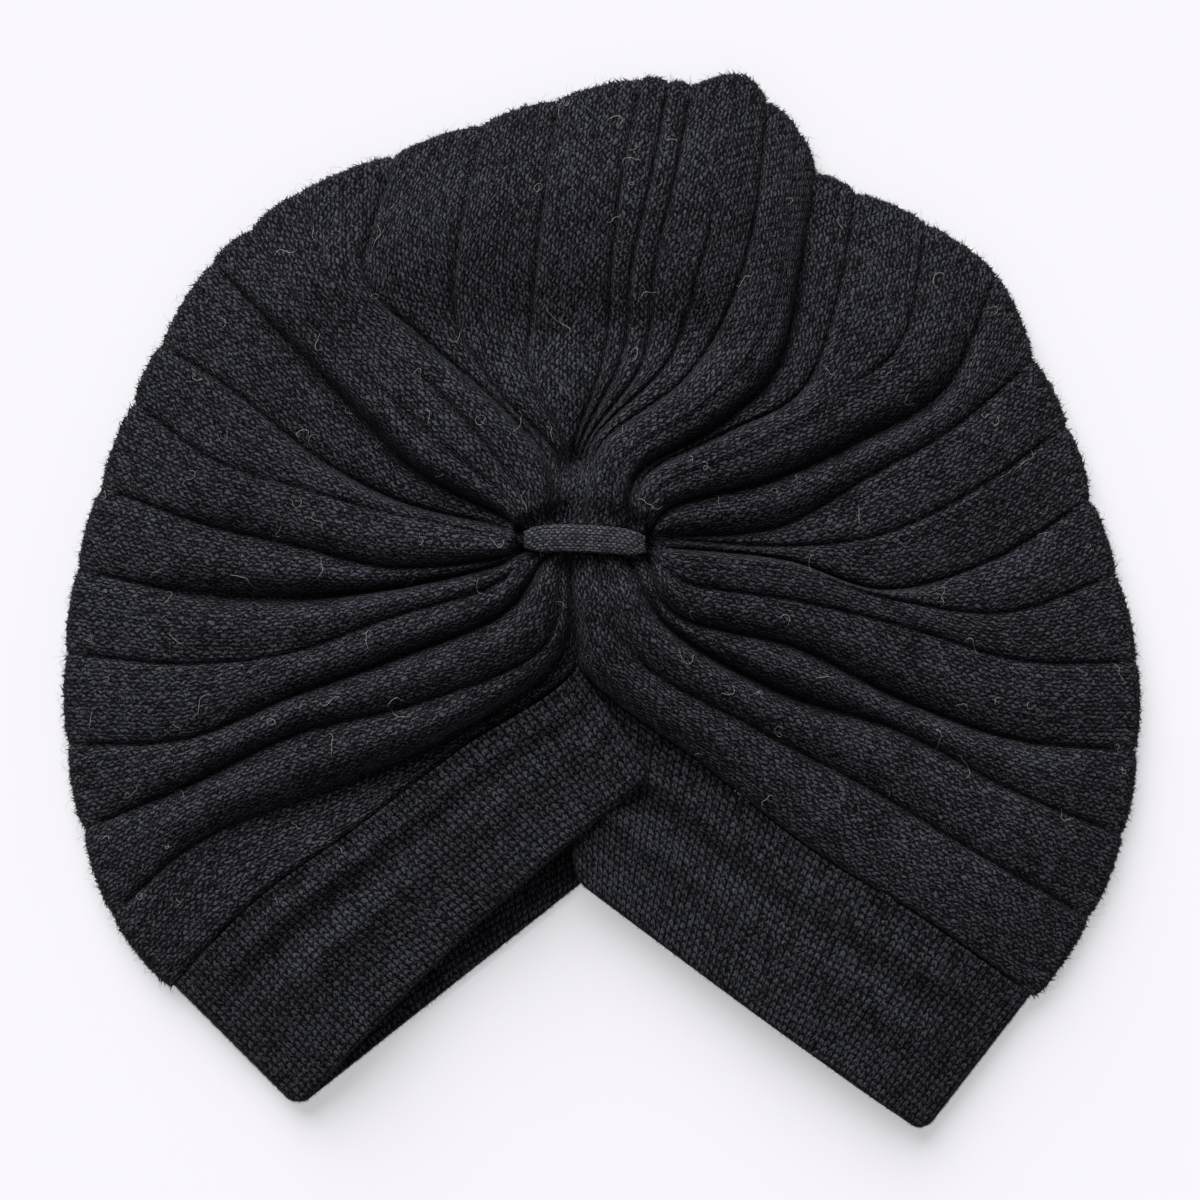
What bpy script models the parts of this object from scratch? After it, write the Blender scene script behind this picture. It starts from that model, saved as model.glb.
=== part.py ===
"""Knitted turban headwrap, lying flat on its back.

The crown is one ribbed shell. Its ribs fan out from a gathered tie, wrap round the folded outline and meet
again low on the back. Two hem bands, folded round their corners, edge the V-shaped mouth, and a small
knitted loop holds the gathers. Metres, +Z up, seen from above with the mouth towards -Y.
"""

import math
from collections import namedtuple

import bmesh
import bpy
import numpy as np

# Driving dimensions, in metres
FAN_REACH = 0.1654  # tie to the right end of the mouth's seam, the longest rib
CROWN_WALL = 0.0024  # ribbed knit
BAND_WALL = 0.0032  # doubled plain knit
BAND_WIDTH = 0.0456  # seam to hem
FOLD_THICK = 0.0074  # both layers and the bend, at the folded outline
CREST_HEIGHT = 0.0272  # folds beside the tie
FOLD_DEPTH = 0.0116  # the deepest fold
RIM_RISE = 0.0260  # how far in from the outline the folds reach their full height
SCALLOP = 0.0024  # how far a rib bulges past the notches at its sides
SCALLOP_ROUND = 0.3  # lower makes the bulge squarer
BACK_GROOVE = 0.0005  # welts pressed flat on the back
HOLLOW_LEAST = 0.0052  # clear height kept inside under the deepest folds
LOOP_LENGTH = 0.0308
LOOP_WIDTH = 0.0070
LOOP_THICK = 0.0021
TIE_TOP = CREST_HEIGHT - 0.0050  # gathers under the middle of the loop
TIE_PIT = CREST_HEIGHT - 0.0074  # pits that the ends of the loop go into
BAND_TOP = 0.0128  # outer face of the front bands, half way along
LAP_TOP = 0.0112  # outer face of the right band, where the left one laps over it
CORNER_ROUND = 0.0046
SEAM_GAP = 0.00035
LAP_GAP = 0.0003
SEAT_GAP = 0.0003
LOOP_BOW = 0.0010  # how far the loop's ends lie below its middle, in plan
LOOP_TILT = 0.0007  # and its right end below its left one
TIE_MARGIN = (0.0012, 0.0006)  # how far the flat of the gathers reaches past the loop's ends and sides
RIB_ROUND = 0.85  # lower makes the ribs' crests broader and the creases sharper
ROLL_SLOPE = 1.25  # a rib rises over its creases by no more than this share of its width

# Places along a rib, as shares of its reach from the tie
RIB_SHARES = (1.0, 0.8, 0.6, 0.4, 0.2, 0.0)
JOIN_SHARE = 0.2  # the mouth's two seams meet here
JOIN_REACH = 0.195  # share of FAN_REACH from the tie to that meeting point
JOIN_ANGLE = 266.5
FRONT_STATIONS = (0.0, 0.04, 0.08, 0.14, 0.2, 0.3, 0.4, 0.5, 0.6, 0.7, 0.8, 0.88)
RIM_STATION = 0.0090  # one more station, in metres from the outline
BEND_TURNS = (90, 45, 0)
BACK_STATIONS = (0.86, 0.6, 0.35, 0.14)
TIE_BLEND = 0.08  # the gathers leave the tie within this share
OUTER_STEPS = 4  # lines of points across each rib, outside and inside
INNER_STEPS = 2

# One row for each welt or crease between two ribs, clockwise from the left seam to the right one.
# reach: share of FAN_REACH. angles: degrees anticlockwise from +X, at RIB_SHARES.
# depths: shares of FOLD_DEPTH, at RIB_SHARES. puff: how far the rib after it rises over its two creases,
# from 0, flat, to 1, a full roll.
Crease = namedtuple("Crease", "reach angles depths puff")
CREASES = (
    Crease(0.951, (227.2, 227.5, 231.5, 239.0, 266.5, 267.3), (0.12, 0.15, 0.30, 0.85, 0.95, 0.35), 0.0),
    Crease(0.940, (218.4, 218.0, 224.0, 235.5, 258.0, 266.9), (0.15, 0.45, 0.80, 1.00, 0.90, 0.30), 1.0),
    Crease(0.901, (210.0, 211.7, 213.8, 224.5, 248.5, 264.4), (0.25, 0.50, 0.45, 0.35, 0.40, 0.25), 1.0),
    Crease(0.865, (201.7, 206.5, 208.0, 212.0, 221.5, 250.5), (0.10, 0.20, 0.45, 0.60, 0.55, 0.35), 0.9),
    Crease(0.825, (192.3, 197.0, 201.0, 202.0, 207.0, 236.0), (0.12, 0.10, 0.12, 0.20, 0.12, 0.05), 0.9),
    Crease(0.789, (183.4, 187.3, 191.0, 194.0, 197.0, 208.5), (0.12, 0.60, 0.85, 0.75, 0.50, 0.35), 0.9),
    Crease(0.756, (173.8, 177.3, 181.0, 188.0, 191.5, 194.5), (0.15, 0.30, 0.35, 0.45, 0.50, 0.30), 1.0),
    Crease(0.732, (163.1, 168.0, 170.0, 173.0, 178.0, 182.0), (0.06, 0.05, 0.05, 0.10, 0.05, 0.00), 0.6),
    Crease(0.724, (155.2, 157.5, 163.0, 168.5, 171.0, 171.0), (0.15, 0.25, 0.45, 0.65, 0.55, 0.20), 0.4),
    Crease(0.721, (143.3, 145.8, 149.6, 157.5, 163.0, 163.0), (0.12, 0.50, 0.70, 0.90, 0.80, 0.35), 1.0),
    Crease(0.707, (137.2, 140.0, 143.0, 146.0, 152.0, 150.0), (0.00, 0.00, 0.02, 0.05, 0.05, 0.00), 0.2),
    Crease(0.698, (129.5, 134.0, 135.5, 135.0, 142.0, 128.0), (0.05, 0.00, 0.00, 0.10, 0.15, 0.10), 0.8),
    Crease(0.666, (116.6, 129.5, 128.7, 123.6, 115.5, 104.5), (0.08, 0.10, 0.35, 0.50, 0.55, 0.45), 0.1),
    Crease(0.663, (104.0, 111.0, 120.3, 120.5, 108.0, 101.0), (0.07, 0.08, 0.28, 0.50, 0.75, 0.50), 0.1),
    Crease(0.683, (93.7, 96.5, 101.0, 108.0, 102.5, 98.1), (0.07, 0.06, 0.20, 0.45, 0.75, 0.50), 0.1),
    Crease(0.721, (83.0, 84.1, 84.5, 84.0, 97.0, 95.0), (0.10, 0.10, 0.20, 0.45, 0.80, 0.50), 0.1),
    Crease(0.721, (79.7, 79.5, 80.2, 78.5, 93.5, 93.2), (0.09, 0.06, 0.18, 0.45, 0.75, 0.50), 0.1),
    Crease(0.723, (76.8, 76.0, 75.5, 72.0, 89.5, 91.7), (0.09, 0.09, 0.18, 0.45, 0.65, 0.50), 0.1),
    Crease(0.764, (71.4, 69.5, 67.0, 65.0, 85.5, 90.9), (0.00, 0.00, 0.12, 0.42, 0.50, 0.45), 0.0),
    Crease(0.737, (67.5, 63.0, 58.5, 58.0, 80.0, 90.2), (0.10, 0.10, 0.22, 0.35, 0.30, 0.40), 0.7),
    Crease(0.715, (62.4, 57.0, 50.0, 49.0, 65.0, 84.4), (0.00, 0.00, 0.00, 0.00, 0.00, 0.00), 0.8),
    Crease(0.672, (57.9, 51.5, 42.0, 41.0, 51.0, 63.2), (0.45, 0.60, 0.65, 0.80, 0.45, 0.15), 0.4),
    Crease(0.683, (52.0, 44.0, 34.5, 37.0, 46.0, 50.6), (0.10, 0.15, 0.25, 0.55, 0.30, 0.10), 0.8),
    Crease(0.723, (42.7, 32.0, 30.0, 30.0, 36.0, 37.5), (0.10, 0.08, 0.00, 0.00, 0.00, 0.00), 0.8),
    Crease(0.762, (32.8, 22.8, 20.0, 18.0, 21.0, 24.7), (0.40, 0.75, 0.85, 0.80, 0.60, 0.30), 0.8),
    Crease(0.751, (21.9, 17.0, 12.5, 4.0, 2.0, 14.3), (0.12, 0.18, 0.35, 0.65, 0.60, 0.30), 0.2),
    Crease(0.769, (13.4, 7.5, 1.0, -2.0, -1.0, 3.0), (0.08, 0.08, 0.20, 0.45, 0.50, 0.30), 0.1),
    Crease(0.787, (4.6, -3.0, -9.5, -6.0, -6.0, -5.0), (0.25, 0.28, 0.35, 0.45, 0.45, 0.30), 0.9),
    Crease(0.827, (-3.7, -9.8, -11.0, -9.5, -13.0, -10.0), (0.12, 0.10, 0.05, 0.00, 0.00, 0.00), 0.4),
    Crease(0.879, (-12.5, -15.5, -15.3, -16.0, -23.0, -16.0), (0.15, 0.18, 0.12, 0.12, 0.10, 0.05), 0.8),
    Crease(0.918, (-20.9, -25.0, -26.8, -27.0, -39.5, -24.7), (0.15, 0.40, 0.70, 0.60, 0.50, 0.30), 1.0),
    Crease(0.954, (-28.8, -30.5, -31.3, -38.0, -46.5, -64.5), (0.12, 0.15, 0.45, 0.85, 0.60, 0.30), 0.9),
    Crease(0.981, (-36.8, -38.6, -41.2, -48.0, -67.0, -86.9), (0.18, 0.20, 0.30, 0.40, 0.30, 0.20), 0.7),
    Crease(1.000, (-45.5, -48.0, -53.7, -62.0, -93.5, -92.7), (0.15, 0.20, 0.35, 0.62, 0.85, 0.35), 0.0),
)

# Height of the crests: share of a rib's reach, share of CREST_HEIGHT
Crest = namedtuple("Crest", "share height")
CRESTS = (
    Crest(0.0, 0.86),
    Crest(0.12, 0.94),
    Crest(0.3, 0.86),
    Crest(0.5, 0.72),
    Crest(0.7, 0.62),
    Crest(1.0, 0.54),
)

# Broad soft hollows between the folds: place by reach (share of FAN_REACH) and angle, half widths as
# shares of FAN_REACH, depth as a share of FOLD_DEPTH
Hollow = namedtuple("Hollow", "reach angle wide high depth")
HOLLOWS = (
    Hollow(0.33, 95, 0.22, 0.07, 0.42),
    Hollow(0.53, 143, 0.08, 0.05, 0.16),
    Hollow(0.38, 39, 0.07, 0.04, 0.16),
    Hollow(0.36, 60, 0.05, 0.06, 0.25),
    Hollow(0.12, 95, 0.03, 0.025, 0.40),
    Hollow(0.62, 56, 0.03, 0.06, 0.20),
)

# Where the mouth's edges go, as directions in degrees and shares of BAND_WIDTH
LEFT_FOLD_ANGLE = -45.0  # left corner, seen from the left end of the seam
RIGHT_FOLD_ANGLE = -127.8
LEFT_END_ANGLE = -55.2  # end of the left band, which goes under the crown's right edge
LEFT_END_SHARE = 0.755
RIGHT_END_ANGLE = -91.1  # end of the right band, under the left one
RIGHT_END_SHARE = 1.213
BACK_APEX_REACH = 0.230  # share of FAN_REACH from the tie to the top of the back's V
BACK_APEX_ANGLE = -90.8
BACK_DROP_SHARE = 1.115  # top of the back's V to the hem below it
LAP_START_SHARE = 0.62  # the left band begins to climb over the right one here, and is over it at
LAP_FULL_SHARE = 0.42
BAND_COLUMNS = (0.0, 0.33, 0.66, 0.955)  # places across a band, before its rounded hem
HEM_SAG = 0.06  # share of its height that a front band loses from seam to hem
LEFT_BOW = 0.068  # how far a front hem bows towards its seam, as a share of BAND_WIDTH
RIGHT_BOW = -0.014
BAND_BACK_STATIONS = (0.25, 0.5, 0.75)  # places along a back strip, from its fold to the middle
LOOP_SECTIONS = 13
LOOP_TAPER = 0.4  # share of its width that the loop loses at its ends

# Section of the loop, from one edge over the top to the other: shares of half its width and of its thickness
Edge = namedtuple("Edge", "side height")
LOOP_EDGES = (
    Edge(-1.0, 0.0),
    Edge(-0.92, 0.62),
    Edge(-0.5, 0.93),
    Edge(0.0, 1.0),
    Edge(0.5, 0.93),
    Edge(0.92, 0.62),
    Edge(1.0, 0.0),
    Edge(0.0, 0.0),
)

BLACK_WOOL = (0.0176, 0.0185, 0.0226, 1.0)
BAND_WOOL = (0.0143, 0.0152, 0.0185, 1.0)
LOOP_WOOL = (0.0273, 0.0284, 0.0343, 1.0)
WOOL_ROUGHNESS = 0.95

LAST_RIB = len(CREASES) - 2
JOIN_STATION = FRONT_STATIONS.index(JOIN_SHARE)
HALF_FOLD = FOLD_THICK / 2


def heading(degrees):
    """Unit vector in plan."""
    turn = math.radians(degrees)
    return np.array([math.cos(turn), math.sin(turn)])


def ease(share):
    """0 to 1, steep at first and level at the end."""
    return math.sin(math.pi / 2 * min(max(share, 0.0), 1.0))


def blend(low, high, share):
    """0 at low to 1 at high, level at both ends."""
    part = min(max((share - low) / (high - low), 0.0), 1.0)
    return part * part * (3 - 2 * part)


def smooth_value(knots, values, place):
    """The value at place on a smooth curve that has these values at these rising knots."""
    last = len(knots) - 1
    left = min(max(int(np.searchsorted(knots, place)) - 1, 0), last - 1)

    def slope(i):
        before, after = max(i - 1, 0), min(i + 1, last)
        return (values[after] - values[before]) / (knots[after] - knots[before])

    run = knots[left + 1] - knots[left]
    x = (place - knots[left]) / run
    return (
        values[left] * (2 * x**3 - 3 * x**2 + 1)
        + values[left + 1] * (3 * x**2 - 2 * x**3)
        + slope(left) * run * (x**3 - 2 * x**2 + x)
        + slope(left + 1) * run * (x**3 - x**2)
    )


# Plan of the crown, seen from above, with the tie at (0, 0)
TIE_HALF = np.array([LOOP_LENGTH, LOOP_WIDTH]) / 2 + TIE_MARGIN
JOIN_PLACE = JOIN_REACH * FAN_REACH * heading(JOIN_ANGLE)
BACK_APEX = BACK_APEX_REACH * FAN_REACH * heading(BACK_APEX_ANGLE)


def tie_sag(x):
    """How far the loop and the gathers under it bend towards the mouth."""
    part = x / TIE_HALF[0]
    return -LOOP_BOW * part**2 - LOOP_TILT * part


def tie_outline(degrees):
    """A point of the rounded oblong under the loop, where the gathers end."""
    way = heading(degrees)
    x, y = TIE_HALF * np.sign(way) * np.sqrt(np.abs(way))
    return np.array([x, y + tie_sag(x)])


def crease_place(crease, share):
    """Plan position on a crease, at a share of its reach."""
    reach = crease.reach * FAN_REACH
    places = [knot * reach * heading(angle) for knot, angle in zip(RIB_SHARES, crease.angles)]
    places[-1] = tie_outline(crease.angles[-1])
    if crease in (CREASES[0], CREASES[-1]):
        places[RIB_SHARES.index(JOIN_SHARE)] = JOIN_PLACE
    return smooth_value(RIB_SHARES[::-1], places[::-1], share)


def crease_depth(crease, share):
    """How deep a crease lies below the crests beside it."""
    return max(smooth_value(RIB_SHARES[::-1], crease.depths[::-1], share), 0.0) * FOLD_DEPTH


def edge_crease(rib, side, share, of):
    """A crease's place or depth, with the two seams brought together where they meet."""
    crease = CREASES[rib + side]
    if crease in (CREASES[0], CREASES[-1]) and share <= JOIN_SHARE:
        return (of(CREASES[0], share) + of(CREASES[-1], share)) / 2
    return of(crease, share)


def valley(across):
    """1 in the creases at a rib's two sides, 0 on its rounded crest."""
    return 1 - math.sin(math.pi * across) ** RIB_ROUND


def rib_reach(rib, across):
    """Length of the line that runs along a rib, from the tie to the outline."""
    near, far = CREASES[rib].reach, CREASES[rib + 1].reach
    return ((1 - across) * near + across * far) * FAN_REACH


def front_place(rib, across, share):
    """Plan position on the front, for a line across / 1 of the way over a rib."""
    near = edge_crease(rib, 0, share, crease_place)
    far = edge_crease(rib, 1, share, crease_place)
    place = (1 - across) * near + across * far
    bulge = SCALLOP * math.sin(math.pi * across) ** SCALLOP_ROUND * share**3
    return place + bulge * place / np.linalg.norm(place)


def tie_arch(x):
    """Height of the gathers under the loop."""
    return TIE_PIT + (TIE_TOP - TIE_PIT) * (1 - min(abs(x) / TIE_HALF[0], 1.0) ** 3)


def hollow_depth(place):
    """Depth of the broad soft hollows."""
    depth = 0.0
    for hollow in HOLLOWS:
        offset = (place - hollow.reach * FAN_REACH * heading(hollow.angle)) / FAN_REACH
        spread = (offset[0] / hollow.wide) ** 2 + (offset[1] / hollow.high) ** 2
        depth += hollow.depth * FOLD_DEPTH * math.exp(-spread)
    return depth


def fold_depth(rib, across, share):
    """How far the outer face lies below the crests. A narrow rib can't rise far over its creases."""
    near = edge_crease(rib, 0, share, crease_depth)
    far = edge_crease(rib, 1, share, crease_depth)
    step = edge_crease(rib, 1, share, crease_place) - edge_crease(rib, 0, share, crease_place)
    fullest = min(1.0, ROLL_SLOPE * np.linalg.norm(step) / max(near + far, SEAM_GAP))
    roll = CREASES[rib].puff * fullest * (1 - valley(across))
    return ((1 - across) * near + across * far) * (1 - roll)


def front_height(rib, across, share, place):
    """Height of the crown's outer face on the front."""
    crest = CREST_HEIGHT * smooth_value([c.share for c in CRESTS], [c.height for c in CRESTS], share)
    from_tie = blend(0, TIE_BLEND, share)
    arch = tie_arch(place[0])
    height = arch + (crest - hollow_depth(place) - arch) * from_tie
    height = max(height - fold_depth(rib, across, share), 2 * CROWN_WALL + HOLLOW_LEAST)
    inset = (1 - share) * rib_reach(rib, across)
    return FOLD_THICK + (height - FOLD_THICK) * ease((inset - HALF_FOLD) / RIM_RISE)


def bend(turn, inside):
    """Inset from the outline, and height from the middle of the fold, on a face inside it by so much."""
    radius = HALF_FOLD - inside
    return HALF_FOLD - radius * math.cos(math.radians(turn)), radius * math.sin(math.radians(turn))


def crown_line(rib, across, inside):
    """One line of the shell's face, from the tie, round the fold, to the top of the back's V."""
    reach = rib_reach(rib, across)
    line = []
    for share in FRONT_STATIONS + (1 - RIM_STATION / reach,):
        place = front_place(rib, across, share)
        line.append((*place, front_height(rib, across, share, place) - inside))
    for turn in BEND_TURNS:
        inset, rise = bend(turn, inside)
        line.append((*front_place(rib, across, 1 - inset / reach), HALF_FOLD + rise))
    outline = front_place(rib, across, 1.0)
    length = np.linalg.norm(outline - BACK_APEX)
    for turn in BEND_TURNS[-2::-1]:
        inset, rise = bend(turn, inside)
        place = BACK_APEX + (outline - BACK_APEX) * (1 - inset / length)
        line.append((*place, HALF_FOLD - rise))
    for share in BACK_STATIONS:
        groove = BACK_GROOVE * valley(across) * blend(0.1, 0.5, share) * (inside == 0)
        line.append((*(BACK_APEX + (outline - BACK_APEX) * share), inside + groove))
    return line


def crown():
    """The ribbed shell: an outer and an inner face, joined by a rim along the mouth."""
    mesh = bmesh.new()
    rims = []
    for inside, steps in ((0.0, OUTER_STEPS), (CROWN_WALL, INNER_STEPS)):
        places = [(rib, step / steps) for rib in range(LAST_RIB + 1) for step in range(steps)]
        lines = [[mesh.verts.new(p) for p in crown_line(*at, inside)] for at in places]
        last = [mesh.verts.new(p) for p in crown_line(LAST_RIB, 1.0, inside)[JOIN_STATION + 1 :]]
        lines.append(lines[0][: JOIN_STATION + 1] + last)
        middle = mesh.verts.new((0.0, 0.0, TIE_TOP - inside))
        apex = mesh.verts.new((*BACK_APEX, inside))
        for left, right in zip(lines, lines[1:]):
            for i in range(len(left) - 1):
                mesh.faces.new((left[i], left[i + 1], right[i + 1], right[i]))
            mesh.faces.new((middle, left[0], right[0]))
            mesh.faces.new((apex, right[-1], left[-1]))
        rims.append([line[JOIN_STATION:] + [apex] for line in (lines[0], lines[-1])])
    for outer, inner in zip(*rims):
        for i in range(len(outer) - 1):
            mesh.faces.new((outer[i], outer[i + 1], inner[i + 1], inner[i]))
    return mesh


def skin(sections, halves):
    """A closed skin over a row of closed sections, capped by ladders between each end's two halves."""
    mesh = bmesh.new()
    rows = [[mesh.verts.new(p) for p in section] for section in sections]
    count = len(rows[0])
    for near, far in zip(rows, rows[1:]):
        for i in range(count):
            j = (i + 1) % count
            mesh.faces.new((near[i], far[i], far[j], near[j]))
    for row in (rows[0], rows[-1]):
        for i in range(halves - 1):
            corners = [row[i], row[i + 1], row[(count - i - 2) % count], row[(count - i - 1) % count]]
            mesh.faces.new(list(dict.fromkeys(corners)))
    return mesh


def band_section(seams, hems, heights, width_share):
    """A section across a band: outer face from seam to hem, then the inner face back to the seam.

    seams, hems and heights each hold the outer face's value and then the inner face's.
    """
    section = []
    for face, columns in ((0, BAND_COLUMNS), (1, BAND_COLUMNS[::-1])):
        way = hems[face] - seams[face]
        start = seams[face] + SEAM_GAP * way / np.linalg.norm(way)
        for across in columns:
            place = start + (hems[face] - start) * across * width_share
            section.append((*place, heights[face](across)))
        if face == 0:
            edge = start + (hems[face] - start) * width_share
            section.append((*edge, (heights[0](1.0) + heights[1](1.0)) / 2))
    return section


def corner_share(inset):
    """Share of the band's width that is left at this distance from the fold, for a rounded corner."""
    past = max(CORNER_ROUND - inset, 0.0)
    return 1 - (CORNER_ROUND - math.sqrt(CORNER_ROUND**2 - past**2)) / BAND_WIDTH


def band(rib, side, fold_angle, end_angle, end_share, bow, front_top):
    """One hem band: its front strip, the fold at the corner and its back strip, to the middle of the back.

    front_top gives the height of the outer face at a share of the seam's reach.
    """
    reach = CREASES[rib + side].reach * FAN_REACH
    notch = crease_place(CREASES[rib + side], 1.0)
    corner = notch + BAND_WIDTH * heading(fold_angle)
    end = JOIN_PLACE + BAND_WIDTH * end_share * heading(end_angle)

    def seam(share):
        return edge_crease(rib, side, share, crease_place)

    def front_hem(share):
        part = (1 - share) / (1 - JOIN_SHARE)
        inwards = (JOIN_PLACE - end) / np.linalg.norm(JOIN_PLACE - end)
        return corner + (end - corner) * part + BAND_WIDTH * bow * math.sin(math.pi * part) * inwards

    def front_face(share, inside):
        inset = (1 - share) * reach
        top = FOLD_THICK + (front_top(share) - FOLD_THICK) * ease((inset - HALF_FOLD) / RIM_RISE)
        sag = HEM_SAG * blend(1.0, 0.8, share) * blend(LAP_FULL_SHARE, 0.7, share)
        return lambda across: top * (1 - sag * across) - inside

    sections = []
    for share in FRONT_STATIONS[JOIN_STATION:] + (1 - RIM_STATION / reach,):
        faces = (front_face(share, 0.0), front_face(share, BAND_WALL))
        sections.append(band_section([seam(share)] * 2, [front_hem(share)] * 2, faces, 1.0))

    # Both faces round the corner's fold, from the front (side of the turn 1) to the back (-1)
    drop = BACK_APEX + BAND_WIDTH * BACK_DROP_SHARE * heading(-90)
    back = {"seam": BACK_APEX - notch, "hem": drop - corner}
    for way, turns in ((1, BEND_TURNS), (-1, BEND_TURNS[-2::-1])):
        for turn in turns:
            seams, hems, heights = [], [], []
            for inside in (0.0, BAND_WALL):
                inset, rise = bend(turn, inside)
                if way == 1:
                    seams.append(seam(1 - inset / reach))
                    hems.append(front_hem(1 - inset / reach))
                else:
                    share = inset / np.linalg.norm(back["seam"])
                    seams.append(notch + back["seam"] * share)
                    hems.append(corner + back["hem"] * share)
                heights.append(lambda across, z=HALF_FOLD + way * rise: z)
            sections.append(band_section(seams, hems, heights, corner_share(bend(turn, 0.0)[0])))

    # The back strip lies flat and stops half a gap short of the middle
    flat = (lambda across: 0.0, lambda across: BAND_WALL)
    middle = 1 - SEAM_GAP / 2 / abs(back["seam"][0])
    for share in BAND_BACK_STATIONS + (middle,):
        place, hem = notch + back["seam"] * share, corner + back["hem"] * share
        if share == middle:
            hem[0] = place[0]
        sections.append(band_section([place] * 2, [hem] * 2, flat, 1.0))
    return skin(sections, len(BAND_COLUMNS) + 1)


def right_band_top(share):
    """Outer face of the right band, pressed down under the lap."""
    return BAND_TOP + (LAP_TOP - BAND_TOP) * blend(LAP_START_SHARE, LAP_FULL_SHARE, share)


def left_band_top(share):
    """Outer face of the left band, which climbs over the right one."""
    over = LAP_TOP + LAP_GAP + BAND_WALL
    return BAND_TOP + (over - BAND_TOP) * blend(LAP_START_SHARE, LAP_FULL_SHARE, share)


def centre_loop():
    """The small loop: a soft strap arched over the gathers, with its ends in the pits beside them."""
    sections = []
    for i in range(LOOP_SECTIONS):
        along = 2 * i / (LOOP_SECTIONS - 1) - 1
        x = along * LOOP_LENGTH / 2
        under = tie_arch(x) + SEAT_GAP
        half = LOOP_WIDTH / 2 * (1 - LOOP_TAPER * along**6)
        y = tie_sag(x)
        sections.append([(x, y + edge.side * half, under + edge.height * LOOP_THICK) for edge in LOOP_EDGES])
    return skin(sections, len(LOOP_EDGES) // 2)


def wool(name, colour):
    """Matt black wool."""
    material = bpy.data.materials.new(name)
    material.use_nodes = True
    shader = material.node_tree.nodes["Principled BSDF"]
    shader.inputs["Base Color"].default_value = colour
    shader.inputs["Roughness"].default_value = WOOL_ROUGHNESS
    shader.inputs["Metallic"].default_value = 0.0
    return material


def main():
    """Builds every piece, then sets the origin at the middle of the box, on the surface it lies on."""
    for old in list(bpy.data.objects):
        bpy.data.objects.remove(old)
    body_wool = wool("ribbed_wool", BLACK_WOOL)
    hem_wool = wool("hem_wool", BAND_WOOL)
    pieces = {
        "crown": (crown(), body_wool),
        "band_left": (
            band(0, 0, LEFT_FOLD_ANGLE, LEFT_END_ANGLE, LEFT_END_SHARE, LEFT_BOW, left_band_top),
            hem_wool,
        ),
        "band_right": (
            band(
                LAST_RIB, 1, RIGHT_FOLD_ANGLE, RIGHT_END_ANGLE, RIGHT_END_SHARE, RIGHT_BOW, right_band_top
            ),
            hem_wool,
        ),
        "centre_loop": (centre_loop(), wool("loop_wool", LOOP_WOOL)),
    }
    points = np.array([v.co[:] for mesh, _ in pieces.values() for v in mesh.verts])
    low, high = points.min(axis=0), points.max(axis=0)
    shift = ((low[0] + high[0]) / 2, (low[1] + high[1]) / 2, low[2])
    for name, (mesh, material) in pieces.items():
        for vertex in mesh.verts:
            vertex.co -= type(vertex.co)(shift)
        bmesh.ops.recalc_face_normals(mesh, faces=mesh.faces)
        data = bpy.data.meshes.new(name)
        mesh.to_mesh(data)
        mesh.free()
        data.materials.append(material)
        data.shade_smooth()
        data.set_sharp_from_angle(angle=math.radians(50))
        piece = bpy.data.objects.new(name, data)
        bpy.context.scene.collection.objects.link(piece)


main()
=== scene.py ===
"""Black rib-knit turban headwrap, lying on its back on a white table: its looks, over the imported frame.

The crown, the two hem bands and the loop are rebuilt from the frame's own sizes as fine knitted shells, each
with its stitches laid out in millimetres on a map of its own. Loose fibres and lint lie on top.
"""

import math
from collections import namedtuple

import bmesh
import bpy
import numpy as np
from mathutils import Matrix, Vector
from mathutils.bvhtree import BVHTree


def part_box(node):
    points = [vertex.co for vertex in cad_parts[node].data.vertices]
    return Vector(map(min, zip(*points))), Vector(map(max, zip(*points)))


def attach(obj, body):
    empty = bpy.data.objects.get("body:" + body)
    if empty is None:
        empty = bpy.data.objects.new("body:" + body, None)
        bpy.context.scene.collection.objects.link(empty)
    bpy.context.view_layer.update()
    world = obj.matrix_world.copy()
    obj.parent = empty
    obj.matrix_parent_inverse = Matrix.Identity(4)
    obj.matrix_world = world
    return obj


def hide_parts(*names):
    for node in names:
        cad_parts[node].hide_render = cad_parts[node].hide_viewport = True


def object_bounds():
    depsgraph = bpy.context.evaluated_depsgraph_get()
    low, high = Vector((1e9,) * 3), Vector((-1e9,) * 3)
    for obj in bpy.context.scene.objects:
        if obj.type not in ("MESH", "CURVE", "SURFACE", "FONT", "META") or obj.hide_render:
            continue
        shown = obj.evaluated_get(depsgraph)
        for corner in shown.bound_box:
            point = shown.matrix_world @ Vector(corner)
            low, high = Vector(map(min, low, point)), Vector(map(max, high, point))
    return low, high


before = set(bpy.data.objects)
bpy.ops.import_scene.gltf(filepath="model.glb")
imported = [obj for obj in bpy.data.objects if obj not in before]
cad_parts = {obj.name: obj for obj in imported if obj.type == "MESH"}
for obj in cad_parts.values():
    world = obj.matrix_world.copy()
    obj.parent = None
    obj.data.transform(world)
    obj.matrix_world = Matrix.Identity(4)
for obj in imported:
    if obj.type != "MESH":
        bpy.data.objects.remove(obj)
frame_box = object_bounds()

# Sizes in metres, as the frame has them
FAN_REACH = 0.1654
CROWN_WALL = 0.0024
BAND_WALL = 0.0032
BAND_WIDTH = 0.0456
FOLD_THICK = 0.0074
CREST_HEIGHT = 0.0272
FOLD_DEPTH = 0.0116
RIM_RISE = 0.0260
SCALLOP = 0.0024
SCALLOP_ROUND = 0.3
BACK_GROOVE = 0.0005
HOLLOW_LEAST = 0.0052
LOOP_LENGTH = 0.0308
LOOP_WIDTH = 0.0070
LOOP_THICK = 0.0021
TIE_TOP = 0.0222
TIE_PIT = 0.0198
BAND_TOP = 0.0128
LAP_TOP = 0.0112
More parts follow.
